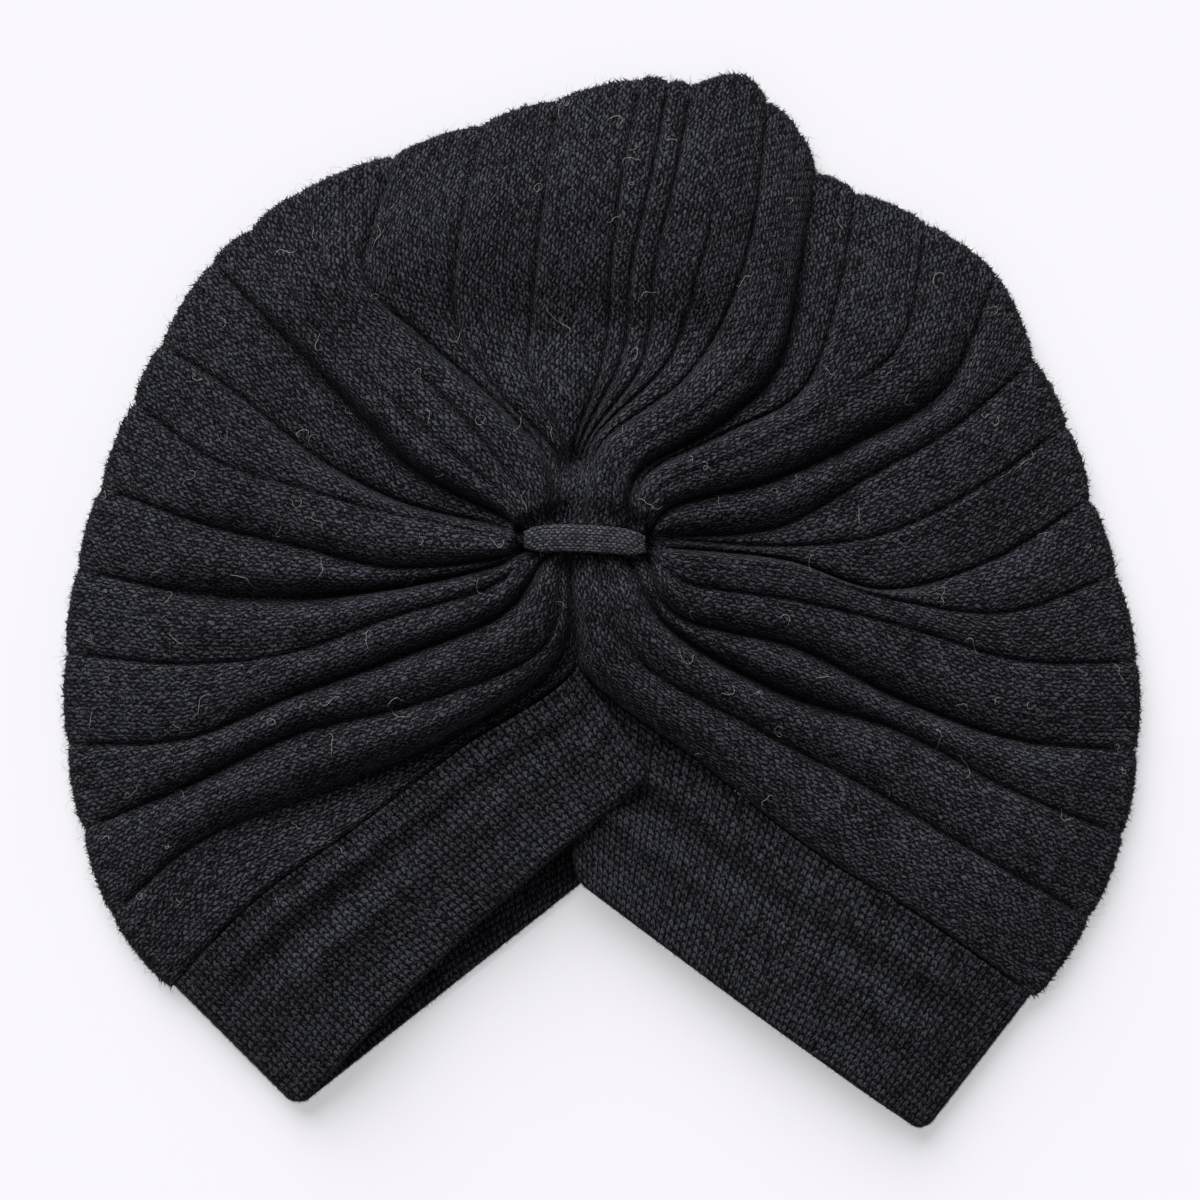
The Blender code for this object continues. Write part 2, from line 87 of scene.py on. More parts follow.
CORNER_ROUND = 0.0046
SEAM_GAP = 0.00035
LAP_GAP = 0.0003
SEAT_GAP = 0.0003
LOOP_BOW = 0.0010
LOOP_TILT = 0.0007
TIE_MARGIN = (0.0012, 0.0006)
RIB_ROUND = 0.85
ROLL_SLOPE = 1.25

RIB_SHARES = (1.0, 0.8, 0.6, 0.4, 0.2, 0.0)
JOIN_SHARE = 0.2
JOIN_REACH = 0.195
JOIN_ANGLE = 266.5
TIE_BLEND = 0.08

# One row for each welt or crease between two ribs, clockwise from the left seam to the right one.
# reach: share of FAN_REACH. angles: degrees anticlockwise from +X, at RIB_SHARES.
# depths: shares of FOLD_DEPTH, at RIB_SHARES. puff: how far the rib after it rises over its two creases, from
# 0, flat, to 1, a full roll.
Crease = namedtuple("Crease", "reach angles depths puff")
CREASES = (
    Crease(0.951, (227.2, 227.5, 231.5, 239.0, 266.5, 267.3), (0.12, 0.15, 0.30, 0.85, 0.95, 0.35), 0.0),
    Crease(0.940, (218.4, 218.0, 224.0, 235.5, 258.0, 266.9), (0.15, 0.45, 0.80, 1.00, 0.90, 0.30), 1.0),
    Crease(0.901, (210.0, 211.7, 213.8, 224.5, 248.5, 264.4), (0.25, 0.50, 0.45, 0.35, 0.40, 0.25), 1.0),
    Crease(0.865, (201.7, 206.5, 208.0, 212.0, 221.5, 250.5), (0.10, 0.20, 0.45, 0.60, 0.55, 0.35), 0.9),
    Crease(0.825, (192.3, 197.0, 201.0, 202.0, 207.0, 236.0), (0.12, 0.10, 0.12, 0.20, 0.12, 0.05), 0.9),
    Crease(0.789, (183.4, 187.3, 191.0, 194.0, 197.0, 208.5), (0.12, 0.60, 0.85, 0.75, 0.50, 0.35), 0.9),
    Crease(0.756, (173.8, 177.3, 181.0, 188.0, 191.5, 194.5), (0.15, 0.30, 0.35, 0.45, 0.50, 0.30), 1.0),
    Crease(0.732, (163.1, 168.0, 170.0, 173.0, 178.0, 182.0), (0.06, 0.05, 0.05, 0.10, 0.05, 0.00), 0.6),
    Crease(0.724, (155.2, 157.5, 163.0, 168.5, 171.0, 171.0), (0.15, 0.25, 0.45, 0.65, 0.55, 0.20), 0.4),
    Crease(0.721, (143.3, 145.8, 149.6, 157.5, 163.0, 163.0), (0.12, 0.50, 0.70, 0.90, 0.80, 0.35), 1.0),
    Crease(0.707, (137.2, 140.0, 143.0, 146.0, 152.0, 150.0), (0.00, 0.00, 0.02, 0.05, 0.05, 0.00), 0.2),
    Crease(0.698, (129.5, 134.0, 135.5, 135.0, 142.0, 128.0), (0.05, 0.00, 0.00, 0.10, 0.15, 0.10), 0.8),
    Crease(0.666, (116.6, 129.5, 128.7, 123.6, 115.5, 104.5), (0.08, 0.10, 0.35, 0.50, 0.55, 0.45), 0.1),
    Crease(0.663, (104.0, 111.0, 120.3, 120.5, 108.0, 101.0), (0.07, 0.08, 0.28, 0.50, 0.75, 0.50), 0.1),
    Crease(0.683, (93.7, 96.5, 101.0, 108.0, 102.5, 98.1), (0.07, 0.06, 0.20, 0.45, 0.75, 0.50), 0.1),
    Crease(0.721, (83.0, 84.1, 84.5, 84.0, 97.0, 95.0), (0.10, 0.10, 0.20, 0.45, 0.80, 0.50), 0.1),
    Crease(0.721, (79.7, 79.5, 80.2, 78.5, 93.5, 93.2), (0.09, 0.06, 0.18, 0.45, 0.75, 0.50), 0.1),
    Crease(0.723, (76.8, 76.0, 75.5, 72.0, 89.5, 91.7), (0.09, 0.09, 0.18, 0.45, 0.65, 0.50), 0.1),
    Crease(0.764, (71.4, 69.5, 67.0, 65.0, 85.5, 90.9), (0.00, 0.00, 0.12, 0.42, 0.50, 0.45), 0.0),
    Crease(0.737, (67.5, 63.0, 58.5, 58.0, 80.0, 90.2), (0.10, 0.10, 0.22, 0.35, 0.30, 0.40), 0.7),
    Crease(0.715, (62.4, 57.0, 50.0, 49.0, 65.0, 84.4), (0.00, 0.00, 0.00, 0.00, 0.00, 0.00), 0.8),
    Crease(0.672, (57.9, 51.5, 42.0, 41.0, 51.0, 63.2), (0.45, 0.60, 0.65, 0.80, 0.45, 0.15), 0.4),
    Crease(0.683, (52.0, 44.0, 34.5, 37.0, 46.0, 50.6), (0.10, 0.15, 0.25, 0.55, 0.30, 0.10), 0.8),
    Crease(0.723, (42.7, 32.0, 30.0, 30.0, 36.0, 37.5), (0.10, 0.08, 0.00, 0.00, 0.00, 0.00), 0.8),
    Crease(0.762, (32.8, 22.8, 20.0, 18.0, 21.0, 24.7), (0.40, 0.75, 0.85, 0.80, 0.60, 0.30), 0.8),
    Crease(0.751, (21.9, 17.0, 12.5, 4.0, 2.0, 14.3), (0.12, 0.18, 0.35, 0.65, 0.60, 0.30), 0.2),
    Crease(0.769, (13.4, 7.5, 1.0, -2.0, -1.0, 3.0), (0.08, 0.08, 0.20, 0.45, 0.50, 0.30), 0.1),
    Crease(0.787, (4.6, -3.0, -9.5, -6.0, -6.0, -5.0), (0.25, 0.28, 0.35, 0.45, 0.45, 0.30), 0.9),
    Crease(0.827, (-3.7, -9.8, -11.0, -9.5, -13.0, -10.0), (0.12, 0.10, 0.05, 0.00, 0.00, 0.00), 0.4),
    Crease(0.879, (-12.5, -15.5, -15.3, -16.0, -23.0, -16.0), (0.15, 0.18, 0.12, 0.12, 0.10, 0.05), 0.8),
    Crease(0.918, (-20.9, -25.0, -26.8, -27.0, -39.5, -24.7), (0.15, 0.40, 0.70, 0.60, 0.50, 0.30), 1.0),
    Crease(0.954, (-28.8, -30.5, -31.3, -38.0, -46.5, -64.5), (0.12, 0.15, 0.45, 0.85, 0.60, 0.30), 0.9),
    Crease(0.981, (-36.8, -38.6, -41.2, -48.0, -67.0, -86.9), (0.18, 0.20, 0.30, 0.40, 0.30, 0.20), 0.7),
    Crease(1.000, (-45.5, -48.0, -53.7, -62.0, -93.5, -92.7), (0.15, 0.20, 0.35, 0.62, 0.85, 0.35), 0.0),
)

# Height of the crests: share of a rib's reach, share of CREST_HEIGHT
Crest = namedtuple("Crest", "share height")
CRESTS = (
    Crest(0.0, 0.86),
    Crest(0.12, 0.94),
    Crest(0.3, 0.86),
    Crest(0.5, 0.72),
    Crest(0.7, 0.62),
    Crest(1.0, 0.54),
)

# Broad soft hollows: place by reach (share of FAN_REACH) and angle, half widths as shares of FAN_REACH,
# depth as a share of FOLD_DEPTH
Hollow = namedtuple("Hollow", "reach angle wide high depth")
HOLLOWS = (
    Hollow(0.33, 95, 0.22, 0.07, 0.42),
    Hollow(0.53, 143, 0.08, 0.05, 0.16),
    Hollow(0.38, 39, 0.07, 0.04, 0.16),
    Hollow(0.36, 60, 0.05, 0.06, 0.25),
    Hollow(0.12, 95, 0.03, 0.025, 0.40),
    Hollow(0.62, 56, 0.03, 0.06, 0.20),
)

# Where the mouth's edges go, as directions in degrees and shares of BAND_WIDTH
LEFT_FOLD_ANGLE = -45.0
RIGHT_FOLD_ANGLE = -127.8
LEFT_END_ANGLE = -55.2
LEFT_END_SHARE = 0.755
RIGHT_END_ANGLE = -91.1
RIGHT_END_SHARE = 1.213
BACK_APEX_REACH = 0.230
BACK_APEX_ANGLE = -90.8
BACK_DROP_SHARE = 1.115
LAP_START_SHARE = 0.62
LAP_FULL_SHARE = 0.42
HEM_SAG = 0.06
SAG_FROM_RIM = (1.0, 0.8)
SAG_FROM_LAP = (LAP_FULL_SHARE, 0.7)
BACK_START = 1.15  # where the back strips' rows begin, as a multiple of half the fold

# How far the front hems bow towards their seams, as shares of BAND_WIDTH
LEFT_BOW = 0.068
RIGHT_BOW = -0.014
LOOP_TAPER = 0.4
LOOP_SQUARE = 0.6  # 1 is an oval section, less is squarer

# How finely each shell is drawn: shares of a rib's width, and numbers of rings, rows and steps
ACROSS_OUTER = (0.0, 0.02, 0.05, 0.1, 0.18, 0.28, 0.39, 0.5, 0.61, 0.72, 0.82, 0.9, 0.95, 0.98)
ACROSS_INNER = (0.0, 0.25, 0.5, 0.75)
TIE_RINGS = 22  # rings from the tie to where the seams meet
FRONT_RINGS = 62  # and from there to the rim
RIM_STATION = 0.0090
RIM_RINGS = 8
BEND_RINGS = 7
BACK_RINGS = 26
BACK_SPAN = (0.955, 0.03)  # where they lie, as shares of the way out from the point low on the back
BAND_COLUMNS = 26
BAND_BACK_RINGS = 44
HEM_STEPS = 5
LOOP_SECTIONS = 72
LOOP_STEPS = 28

# Relief that the cloth has beside its folds, in metres. The narrow groove of each welt fades in between two
# shares of the rib's reach, and a crease shallower than a share of FOLD_DEPTH has less of it
WELT_DEPTH = 0.0016
WELT_HALF = 0.0007
WELT_FADE = (0.06, 0.25)
WELT_FULL = 0.06
BACK_GROOVE_FADE = (0.1, 0.5)

# Soft unevenness of cloth that has been handled, the finer one being a share of the broad one
SOFT_HEIGHT = 0.0005
SOFT_SIZE = 0.017
SOFT_FINE = 0.4
SOFT_CELLS = 64

# Soft ridges that run along a front band: place and half width as shares of its width, height in metres. They
# swell and fade along it, by RIDGE_SWELL, over about RIDGE_RUN
Ridge = namedtuple("Ridge", "place half height")
LEFT_RIDGES = (
    Ridge(0.05, 0.05, -0.0008),
    Ridge(0.17, 0.06, 0.0019),
    Ridge(0.32, 0.07, -0.0017),
    Ridge(0.52, 0.09, 0.0019),
    Ridge(0.80, 0.12, -0.0005),
)
RIGHT_RIDGES = (
    Ridge(0.10, 0.06, -0.0008),
    Ridge(0.24, 0.07, 0.0026),
    Ridge(0.40, 0.08, -0.0022),
    Ridge(0.58, 0.09, 0.0023),
    Ridge(0.78, 0.12, -0.0005),
)
RIDGE_MEAN = 0.8
RIDGE_SWELL = 0.6
RIDGE_RUN = 0.03

# Stitches, in millimetres: width of one leg, two to a stitch, and height of one course. The hems' are as
# large as the real ones. The crown's and the loop's are drawn a little coarser than real
COLUMN = 1.1
COURSE = 2.3
BAND_COLUMN = 0.94
BAND_COURSE = 1.88
LOOP_COLUMN = 0.75
LOOP_COURSE = 1.5
MM = 1000.0

# Unevenness of the yarn: scales of its noises, a metre being 1, and how strongly each changes the lightness
SHIFT_SCALE = 600.0
FIBRE_SCALE = 2300.0
CLOUD_SCALE = 45.0
STRAND_SCALE = (3.2, 1.1, 1.0)  # to a millimetre of the stitch map, so its streaks run up the stitches
STRAND_GAIN = 9.0
STITCH_GAIN = 1.2
FIBRE_GAIN = 5.0
CLOUD_GAIN = 0.8
GRAIN_POWER = 1.7  # how much painted shade darkens a grain's sides against its top
GRAIN_LENGTH = 0.8  # under 1 makes a grain longer than a half wave
# How much of the yarn's colour the painted shade still lets through at the bottom of the pits
PIT_LIGHT = 0.04

# Hairs: depth of their roots, in metres, ranges of length and rise as shares, curl, droop and taper
ROOT_DEPTH = 0.0001
HAIR_LENGTHS = (0.45, 1.4)
HAIR_RISES = (0.2, 1.8)
HAIR_CURL = 0.8
HAIR_DROOP = 0.6
HAIR_TAPER = 0.6

# Lint: stations of a curl and the fewest that still make one, its height over the knit in metres, the range
# of its length, and how it bends: at its start, how much of that it keeps, and how much is new at a station
LINT_STEPS = 16
LINT_LEAST = 6
LINT_RISE = 0.0002
LINT_LENGTHS = (0.3, 1.0)
LINT_BEND = 0.25
LINT_KEEP = 0.7
LINT_STRAY = 0.28
LINT_TIP = 0.15
THIRDS = (0, 2.094, 4.189)  # of a circle, in radians

LAST = len(CREASES) - 1
HALF_FOLD = FOLD_THICK / 2
KNOTS = np.array(RIB_SHARES[::-1])
SHUFFLE = np.random.default_rng(7)


def heading(degrees):
    """Unit vector in plan."""
    turn = np.radians(degrees)
    return np.stack([np.cos(turn), np.sin(turn)], axis=-1)


def ease(share):
    """0 to 1, steep at first and level at the end."""
    return np.sin(np.pi / 2 * np.clip(share, 0.0, 1.0))


def blend(low, high, share):
    """0 at low to 1 at high, level at both ends."""
    part = np.clip((share - low) / (high - low), 0.0, 1.0)
    return part * part * (3 - 2 * part)


def smooth_through(knots, values, row, place):
    """Values at place on the smooth curves values[row], which pass through values[row, i] at knots[i]."""
    left = np.clip(np.searchsorted(knots, place) - 1, 0, len(knots) - 2)
    run = (knots[1:] - knots[:-1])[left]
    x = (place - knots[left]) / run
    after = np.minimum(np.arange(len(knots)) + 1, len(knots) - 1)
    before = np.maximum(np.arange(len(knots)) - 1, 0)
    reach = (knots[after] - knots[before]).reshape((1, -1) + (1,) * (values.ndim - 2))
    slopes = (values[:, after] - values[:, before]) / reach
    more = (...,) + (None,) * (values.ndim - 2)
    x, run = x[more], run[more]
    return (
        values[row, left] * (2 * x**3 - 3 * x**2 + 1)
        + values[row, left + 1] * (3 * x**2 - 2 * x**3)
        + slopes[row, left] * run * (x**3 - 2 * x**2 + x)
        + slopes[row, left + 1] * run * (x**3 - x**2)
    )


# Plan of the crown, measured from the tie
TIE_HALF = np.array([LOOP_LENGTH, LOOP_WIDTH]) / 2 + TIE_MARGIN
JOIN_PLACE = JOIN_REACH * FAN_REACH * heading(JOIN_ANGLE)
BACK_APEX = BACK_APEX_REACH * FAN_REACH * heading(BACK_APEX_ANGLE)


def tie_sag(x):
    """How far the loop and the gathers under it bend towards the mouth."""
    part = x / TIE_HALF[0]
    return -LOOP_BOW * part**2 - LOOP_TILT * part


def crease_tables():
    """Each crease's plan places and depths at KNOTS."""
    places = np.zeros((len(CREASES), len(KNOTS), 2))
    depths = np.zeros((len(CREASES), len(KNOTS)))
    for i, crease in enumerate(CREASES):
        way = heading(crease.angles[-1])
        places[i, 0] = TIE_HALF * np.sign(way) * np.sqrt(np.abs(way))
        places[i, 0, 1] += tie_sag(places[i, 0, 0])
        places[i, 1:] = KNOTS[1:, None] * crease.reach * FAN_REACH * heading(crease.angles[-2::-1])
        if i in (0, LAST):
            places[i, 1] = JOIN_PLACE
        depths[i] = crease.depths[::-1]
    return places, depths * FOLD_DEPTH


CREASE_PLACES, CREASE_DEPTHS = crease_tables()
RIB_PUFF = np.array([crease.puff for crease in CREASES])


def on_crease(table, which, share):
    """A crease's place or depth at a share, with the two seams brought together where they meet."""
    which = np.broadcast_to(which, share.shape)
    found = smooth_through(KNOTS, table, which, share)
    other = smooth_through(KNOTS, table, np.where(which == 0, LAST, 0), share)
    joined = ((which == 0) | (which == LAST)) & (share <= JOIN_SHARE + 1e-9)
    joined = joined.reshape(joined.shape + (1,) * (found.ndim - joined.ndim))
    return np.where(joined, (found + other) / 2, found)


def valley(across):
    """1 in the creases at a rib's two sides, 0 on its rounded crest."""
    return 1 - np.sin(np.pi * np.clip(across, 0, 1)) ** RIB_ROUND


def rib_reach(rib, across):
    """Length of the line that runs along a rib, from the tie to the outline."""
    reaches = np.array([crease.reach for crease in CREASES]) * FAN_REACH
    return (1 - across) * reaches[rib] + across * reaches[rib + 1]


def front_place(rib, across, share):
    """Plan position on the front, the distance to the nearer crease and the rib's width there."""
    near, far = on_crease(CREASE_PLACES, rib, share), on_crease(CREASE_PLACES, rib + 1, share)
    place = near + (far - near) * across[..., None]
    bulge = SCALLOP * np.sin(np.pi * np.clip(across, 0, 1)) ** SCALLOP_ROUND * share**3
    to_crease = np.linalg.norm(far - near, axis=-1) * np.minimum(across, 1 - across)
    place = place + (bulge / np.linalg.norm(place, axis=-1))[..., None] * place
    return place, to_crease, np.linalg.norm(far - near, axis=-1)


def tie_arch(x):
    """Height of the gathers under the loop."""
    return TIE_PIT + (TIE_TOP - TIE_PIT) * (1 - np.minimum(np.abs(x) / TIE_HALF[0], 1.0) ** 3)


def hollow_depth(place):
    """Depth of the broad soft hollows."""
    depth = 0.0
    for hollow in HOLLOWS:
        offset = (place - hollow.reach * FAN_REACH * heading(hollow.angle)) / FAN_REACH
        spread = (offset[..., 0] / hollow.wide) ** 2 + (offset[..., 1] / hollow.high) ** 2
        depth = depth + hollow.depth * FOLD_DEPTH * np.exp(-spread)
    return depth


def soft_noise(place, size, seed):
    """Smooth unevenness from -1 to 1, with bumps about this size."""
    grid = np.random.default_rng(seed).uniform(-1, 1, (SOFT_CELLS, SOFT_CELLS))
    cell = place / size + SOFT_CELLS / 2
    low = np.floor(cell).astype(int)
    part = cell - low
    part = part * part * (3 - 2 * part)
    x, y = low[..., 0] % (SOFT_CELLS - 1), low[..., 1] % (SOFT_CELLS - 1)
    near = grid[x, y] * (1 - part[..., 0]) + grid[x + 1, y] * part[..., 0]
    far = grid[x, y + 1] * (1 - part[..., 0]) + grid[x + 1, y + 1] * part[..., 0]
    return near * (1 - part[..., 1]) + far * part[..., 1]


def front_height(rib, across, share, place, to_crease, width):
    """Height of the crown's outer face on the front. A narrow rib can't rise far over its creases."""
    near, far = on_crease(CREASE_DEPTHS, rib, share), on_crease(CREASE_DEPTHS, rib + 1, share)
    depth = np.maximum(near + (far - near) * across, 0)
    roll = RIB_PUFF[rib] * np.minimum(1, ROLL_SLOPE * width / np.maximum(near + far, SEAM_GAP))
    depth = depth * (1 - roll * (1 - valley(across)))
    knots = np.array([crest.share for crest in CRESTS])
    heights = np.array([[crest.height for crest in CRESTS]])
    crest = CREST_HEIGHT * smooth_through(knots, heights, np.zeros(share.shape, int), share)
    from_tie = blend(0, TIE_BLEND, share)
    arch = tie_arch(place[..., 0])
    height = arch + (crest - hollow_depth(place) - arch) * from_tie - depth
    height = np.maximum(height, 2 * CROWN_WALL + HOLLOW_LEAST)
    soft = soft_noise(place, SOFT_SIZE, 3) + SOFT_FINE * soft_noise(place, SOFT_SIZE / 3, 4)
    height = height + SOFT_HEIGHT * soft * from_tie
    inset = (1 - share) * rib_reach(rib, across)
    height = FOLD_THICK + (height - FOLD_THICK) * ease((inset - HALF_FOLD) / RIM_RISE)
    nearer = np.where(across < 0.5, near, far)
    welt = np.clip(nearer / (WELT_FULL * FOLD_DEPTH), 0, 1) * blend(*WELT_FADE, share)
    return height - WELT_DEPTH * np.exp(-((to_crease / WELT_HALF) ** 2)) * welt


def crown_face(across_steps, inside):
    """One face of the crown as a grid of points: rings, from the tie round the fold to the back, by columns
    across the ribs."""
    ribs = np.repeat(np.arange(LAST), len(across_steps))
    ribs = np.append(ribs, LAST - 1)
    across = np.append(np.tile(across_steps, LAST), 1.0)
    reach = rib_reach(ribs, across)
    radius = HALF_FOLD - inside

    shares = [np.full(reach.shape, s) for s in np.linspace(0, JOIN_SHARE, TIE_RINGS, endpoint=False)]
    rim_start = 1 - RIM_STATION / reach
    for part in np.linspace(0, 1, FRONT_RINGS, endpoint=False):
        shares.append(JOIN_SHARE + (rim_start - JOIN_SHARE) * part)
    for part in np.linspace(0, 1, RIM_RINGS, endpoint=False):
        shares.append(rim_start + (RIM_STATION - HALF_FOLD) / reach * part)
    share = np.array(shares)
    rib, over = np.broadcast_to(ribs, share.shape), np.broadcast_to(across, share.shape)
    place, to_crease, width = front_place(rib, over, share)
    height = front_height(rib, over, share, place, to_crease, width) - inside
    rings = [np.concatenate([place, height[..., None]], axis=-1)]

    for turn in np.linspace(90, 0, BEND_RINGS):
        inset = HALF_FOLD - radius * math.cos(math.radians(turn))
        place = front_place(ribs, across, 1 - inset / reach)[0]
        height = np.full(reach.shape, HALF_FOLD + radius * math.sin(math.radians(turn)))
        rings.append(np.concatenate([place, height[:, None]], axis=-1)[None])

    outline = front_place(ribs, across, np.ones(reach.shape))[0]
    length = np.linalg.norm(outline - BACK_APEX, axis=-1)
    for turn in np.linspace(0, 90, BEND_RINGS)[1:]:
        inset = HALF_FOLD - radius * math.cos(math.radians(turn))
        place = BACK_APEX + (outline - BACK_APEX) * (1 - inset / length)[:, None]
        height = np.full(reach.shape, HALF_FOLD - radius * math.sin(math.radians(turn)))
        rings.append(np.concatenate([place, height[:, None]], axis=-1)[None])
    for share in np.linspace(*BACK_SPAN, BACK_RINGS):
        groove = BACK_GROOVE * valley(across) * blend(*BACK_GROOVE_FADE, share) * (inside == 0)
        place = BACK_APEX + (outline - BACK_APEX) * share
        rings.append(np.concatenate([place, (inside + groove)[:, None]], axis=-1)[None])
    return np.concatenate(rings)


def run_lengths(points, axis):
    """Distance run along a grid of points, from its first point on this axis."""
    steps = np.linalg.norm(np.diff(points, axis=axis), axis=-1)
    start = np.zeros_like(np.take(steps, [0], axis=axis))
    return np.concatenate([start, np.cumsum(steps, axis=axis)], axis=axis)


def rib_stitches(grid, across_steps):
    """Stitch map of a crown face: for each quad its four corners, across and along its rib in millimetres."""
    steps = len(across_steps)
    middle = across_steps.index(0.5)
    rim = TIE_RINGS + FRONT_RINGS + RIM_RINGS + BEND_RINGS - 1
    corners = []
    for rib in range(LAST):
        patch = grid[:, rib * steps : rib * steps + steps + 1]
        across = run_lengths(patch, 1)
        across = across - across[:, middle : middle + 1]
        along = run_lengths(patch[:, middle : middle + 1], 0)
        along = np.broadcast_to(along - along[rim], across.shape)
        flat = np.stack([across, along], axis=-1) * MM
        corners.append(np.stack([flat[:-1, :-1], flat[1:, :-1], flat[1:, 1:], flat[:-1, 1:]], axis=2))
    return np.concatenate(corners, axis=1)


def grid_quads(index):
    """Quads over a grid of vertex numbers."""
    return np.stack([index[:-1, :-1], index[1:, :-1], index[1:, 1:], index[:-1, 1:]], axis=-1)


def new_piece(name, points, quads, stitches, material):
    """A mesh object from points and four-cornered faces, a face that repeats a corner being a triangle."""
    points = np.asarray(points) + TIE_PLACE
    mesh = bpy.data.meshes.new(name)
    faces = [list(dict.fromkeys(quad)) for quad in quads.tolist()]
    mesh.from_pydata(points.tolist(), [], faces)
    if stitches is not None:
        kept = []
        for quad, corners in zip(quads.tolist(), stitches.tolist()):
            seen = {}
            for vertex, corner in zip(quad, corners):
                seen.setdefault(vertex, corner)
            kept.extend(seen.values())
        mesh.uv_layers.new(name="stitches").data.foreach_set("uv", np.array(kept, float).ravel())
    solid = bmesh.new()
    solid.from_mesh(mesh)
    if solid.calc_volume(signed=True) < 0:
        mesh.flip_normals()
    solid.free()
    mesh.shade_smooth()
    mesh.materials.append(material)
    piece = bpy.data.objects.new(name, mesh)
    bpy.context.scene.collection.objects.link(piece)
    return piece


def crown_shell(material):
    """The ribbed crown: outer and inner faces, closed over the tie and the back, with a rim at the mouth."""
    points, quads, stitches, rims = [], [], [], []
    count = 0
    join = TIE_RINGS
    for inside, steps in ((0.0, ACROSS_OUTER), (CROWN_WALL, ACROSS_INNER)):
        grid = crown_face(steps, inside)
        rings, columns = grid.shape[:2]
        index = count + np.arange(rings * columns).reshape(rings, columns)
        index[: join + 1, -1] = index[: join + 1, 0]
        middle, apex = count + rings * columns, count + rings * columns + 1
        points += [grid.reshape(-1, 3), [(0, 0, TIE_TOP - inside)], [(*BACK_APEX, inside)]]
        count += rings * columns + 2
        faces, maps = grid_quads(index), rib_stitches(grid, steps)
        tie = np.stack([np.full(columns - 1, middle), index[0, :-1], index[0, 1:], index[0, 1:]], axis=-1)
        low = np.stack([np.full(columns - 1, apex), index[-1, 1:], index[-1, :-1], index[-1, :-1]], axis=-1)
        if inside:
            faces, tie, low = faces[..., ::-1], tie[:, ::-1], low[:, ::-1]
            maps = maps[:, :, ::-1]
        quads += [faces.reshape(-1, 4), tie, low]
        stitches += [maps.reshape(-1, 4, 2), np.zeros((2 * (columns - 1), 4, 2))]
        rims.append([np.append(index[join:, side], apex) for side in (0, -1)])
    for side, flip in ((0, 1), (1, -1)):
        outer, inner = rims[0][side], rims[1][side]
        rim = np.stack([outer[:-1], inner[:-1], inner[1:], outer[1:]], axis=-1)[:, ::flip]
        quads.append(rim)
        stitches.append(np.zeros((len(rim), 4, 2)))
    points, quads, stitches = np.concatenate(points), np.concatenate(quads), np.concatenate(stitches)
    return new_piece("crown_knit", points, quads, stitches, material)


def band_rows(end, fold_angle, end_angle, end_share, bow, front_top, ridges):
    """Rows of a band from its front end, round the corner, to the middle of the back: for each row the seam
    and hem places and a height for the outer and the inner face."""
    reach = CREASES[end].reach * FAN_REACH
    notch = CREASE_PLACES[end, -1]
    corner = notch + BAND_WIDTH * heading(fold_angle)
    tip = JOIN_PLACE + BAND_WIDTH * end_share * heading(end_angle)

    def seam(share):
        return on_crease(CREASE_PLACES, end, np.array([share]))[0]

    def front_hem(share):
        part = (1 - share) / (1 - JOIN_SHARE)
        inwards = (JOIN_PLACE - tip) / np.linalg.norm(JOIN_PLACE - tip)
        return corner + (tip - corner) * part + BAND_WIDTH * bow * math.sin(math.pi * part) * inwards

    rows = []
    rim_start = 1 - RIM_STATION / reach
    shares = list(np.linspace(JOIN_SHARE, rim_start, FRONT_RINGS, endpoint=False))
    rim_parts = np.linspace(0, 1, RIM_RINGS, endpoint=False)
    shares += list(rim_start + (RIM_STATION - HALF_FOLD) / reach * rim_parts)
    for share in shares:
        inset = (1 - share) * reach
        top = FOLD_THICK + (front_top(share) - FOLD_THICK) * ease((inset - HALF_FOLD) / RIM_RISE)
        sag = HEM_SAG * blend(*SAG_FROM_RIM, share) * blend(*SAG_FROM_LAP, share)
        from_end = (share - JOIN_SHARE) * reach
        rows.append(("front", seam(share), front_hem(share), top, sag, inset, from_end))
    for way, turns in ((1, np.linspace(90, 0, BEND_RINGS)), (-1, np.linspace(0, 90, BEND_RINGS)[1:])):
        for turn in turns:
            rows.append(("bend", way, turn))
    drop = BACK_APEX + BAND_WIDTH * BACK_DROP_SHARE * heading(-90)
    seam_run, hem_run = BACK_APEX - notch, drop - corner
    start = HALF_FOLD / np.linalg.norm(seam_run) * BACK_START
    middle = 1 - SEAM_GAP / 2 / abs(seam_run[0])
    for share in np.linspace(start, middle, BAND_BACK_RINGS):
        place, hem = notch + seam_run * share, corner + hem_run * share
        if share == middle:
            hem = np.array([place[0], hem[1]])
        rows.append(("back", place, hem))

    sections = []
    ends = {"seam": seam, "hem": front_hem, "notch": notch, "corner": corner, "runs": (seam_run, hem_run)}
    for row in rows:
        sections.append(band_section(row, ends, reach, ridges))
    return np.array(sections)


def corner_share(inset):
    """Share of the band's width that is left at this distance from the fold, for a rounded corner."""
    past = max(CORNER_ROUND - inset, 0.0)
    return 1 - (CORNER_ROUND - math.sqrt(CORNER_ROUND**2 - past**2)) / BAND_WIDTH


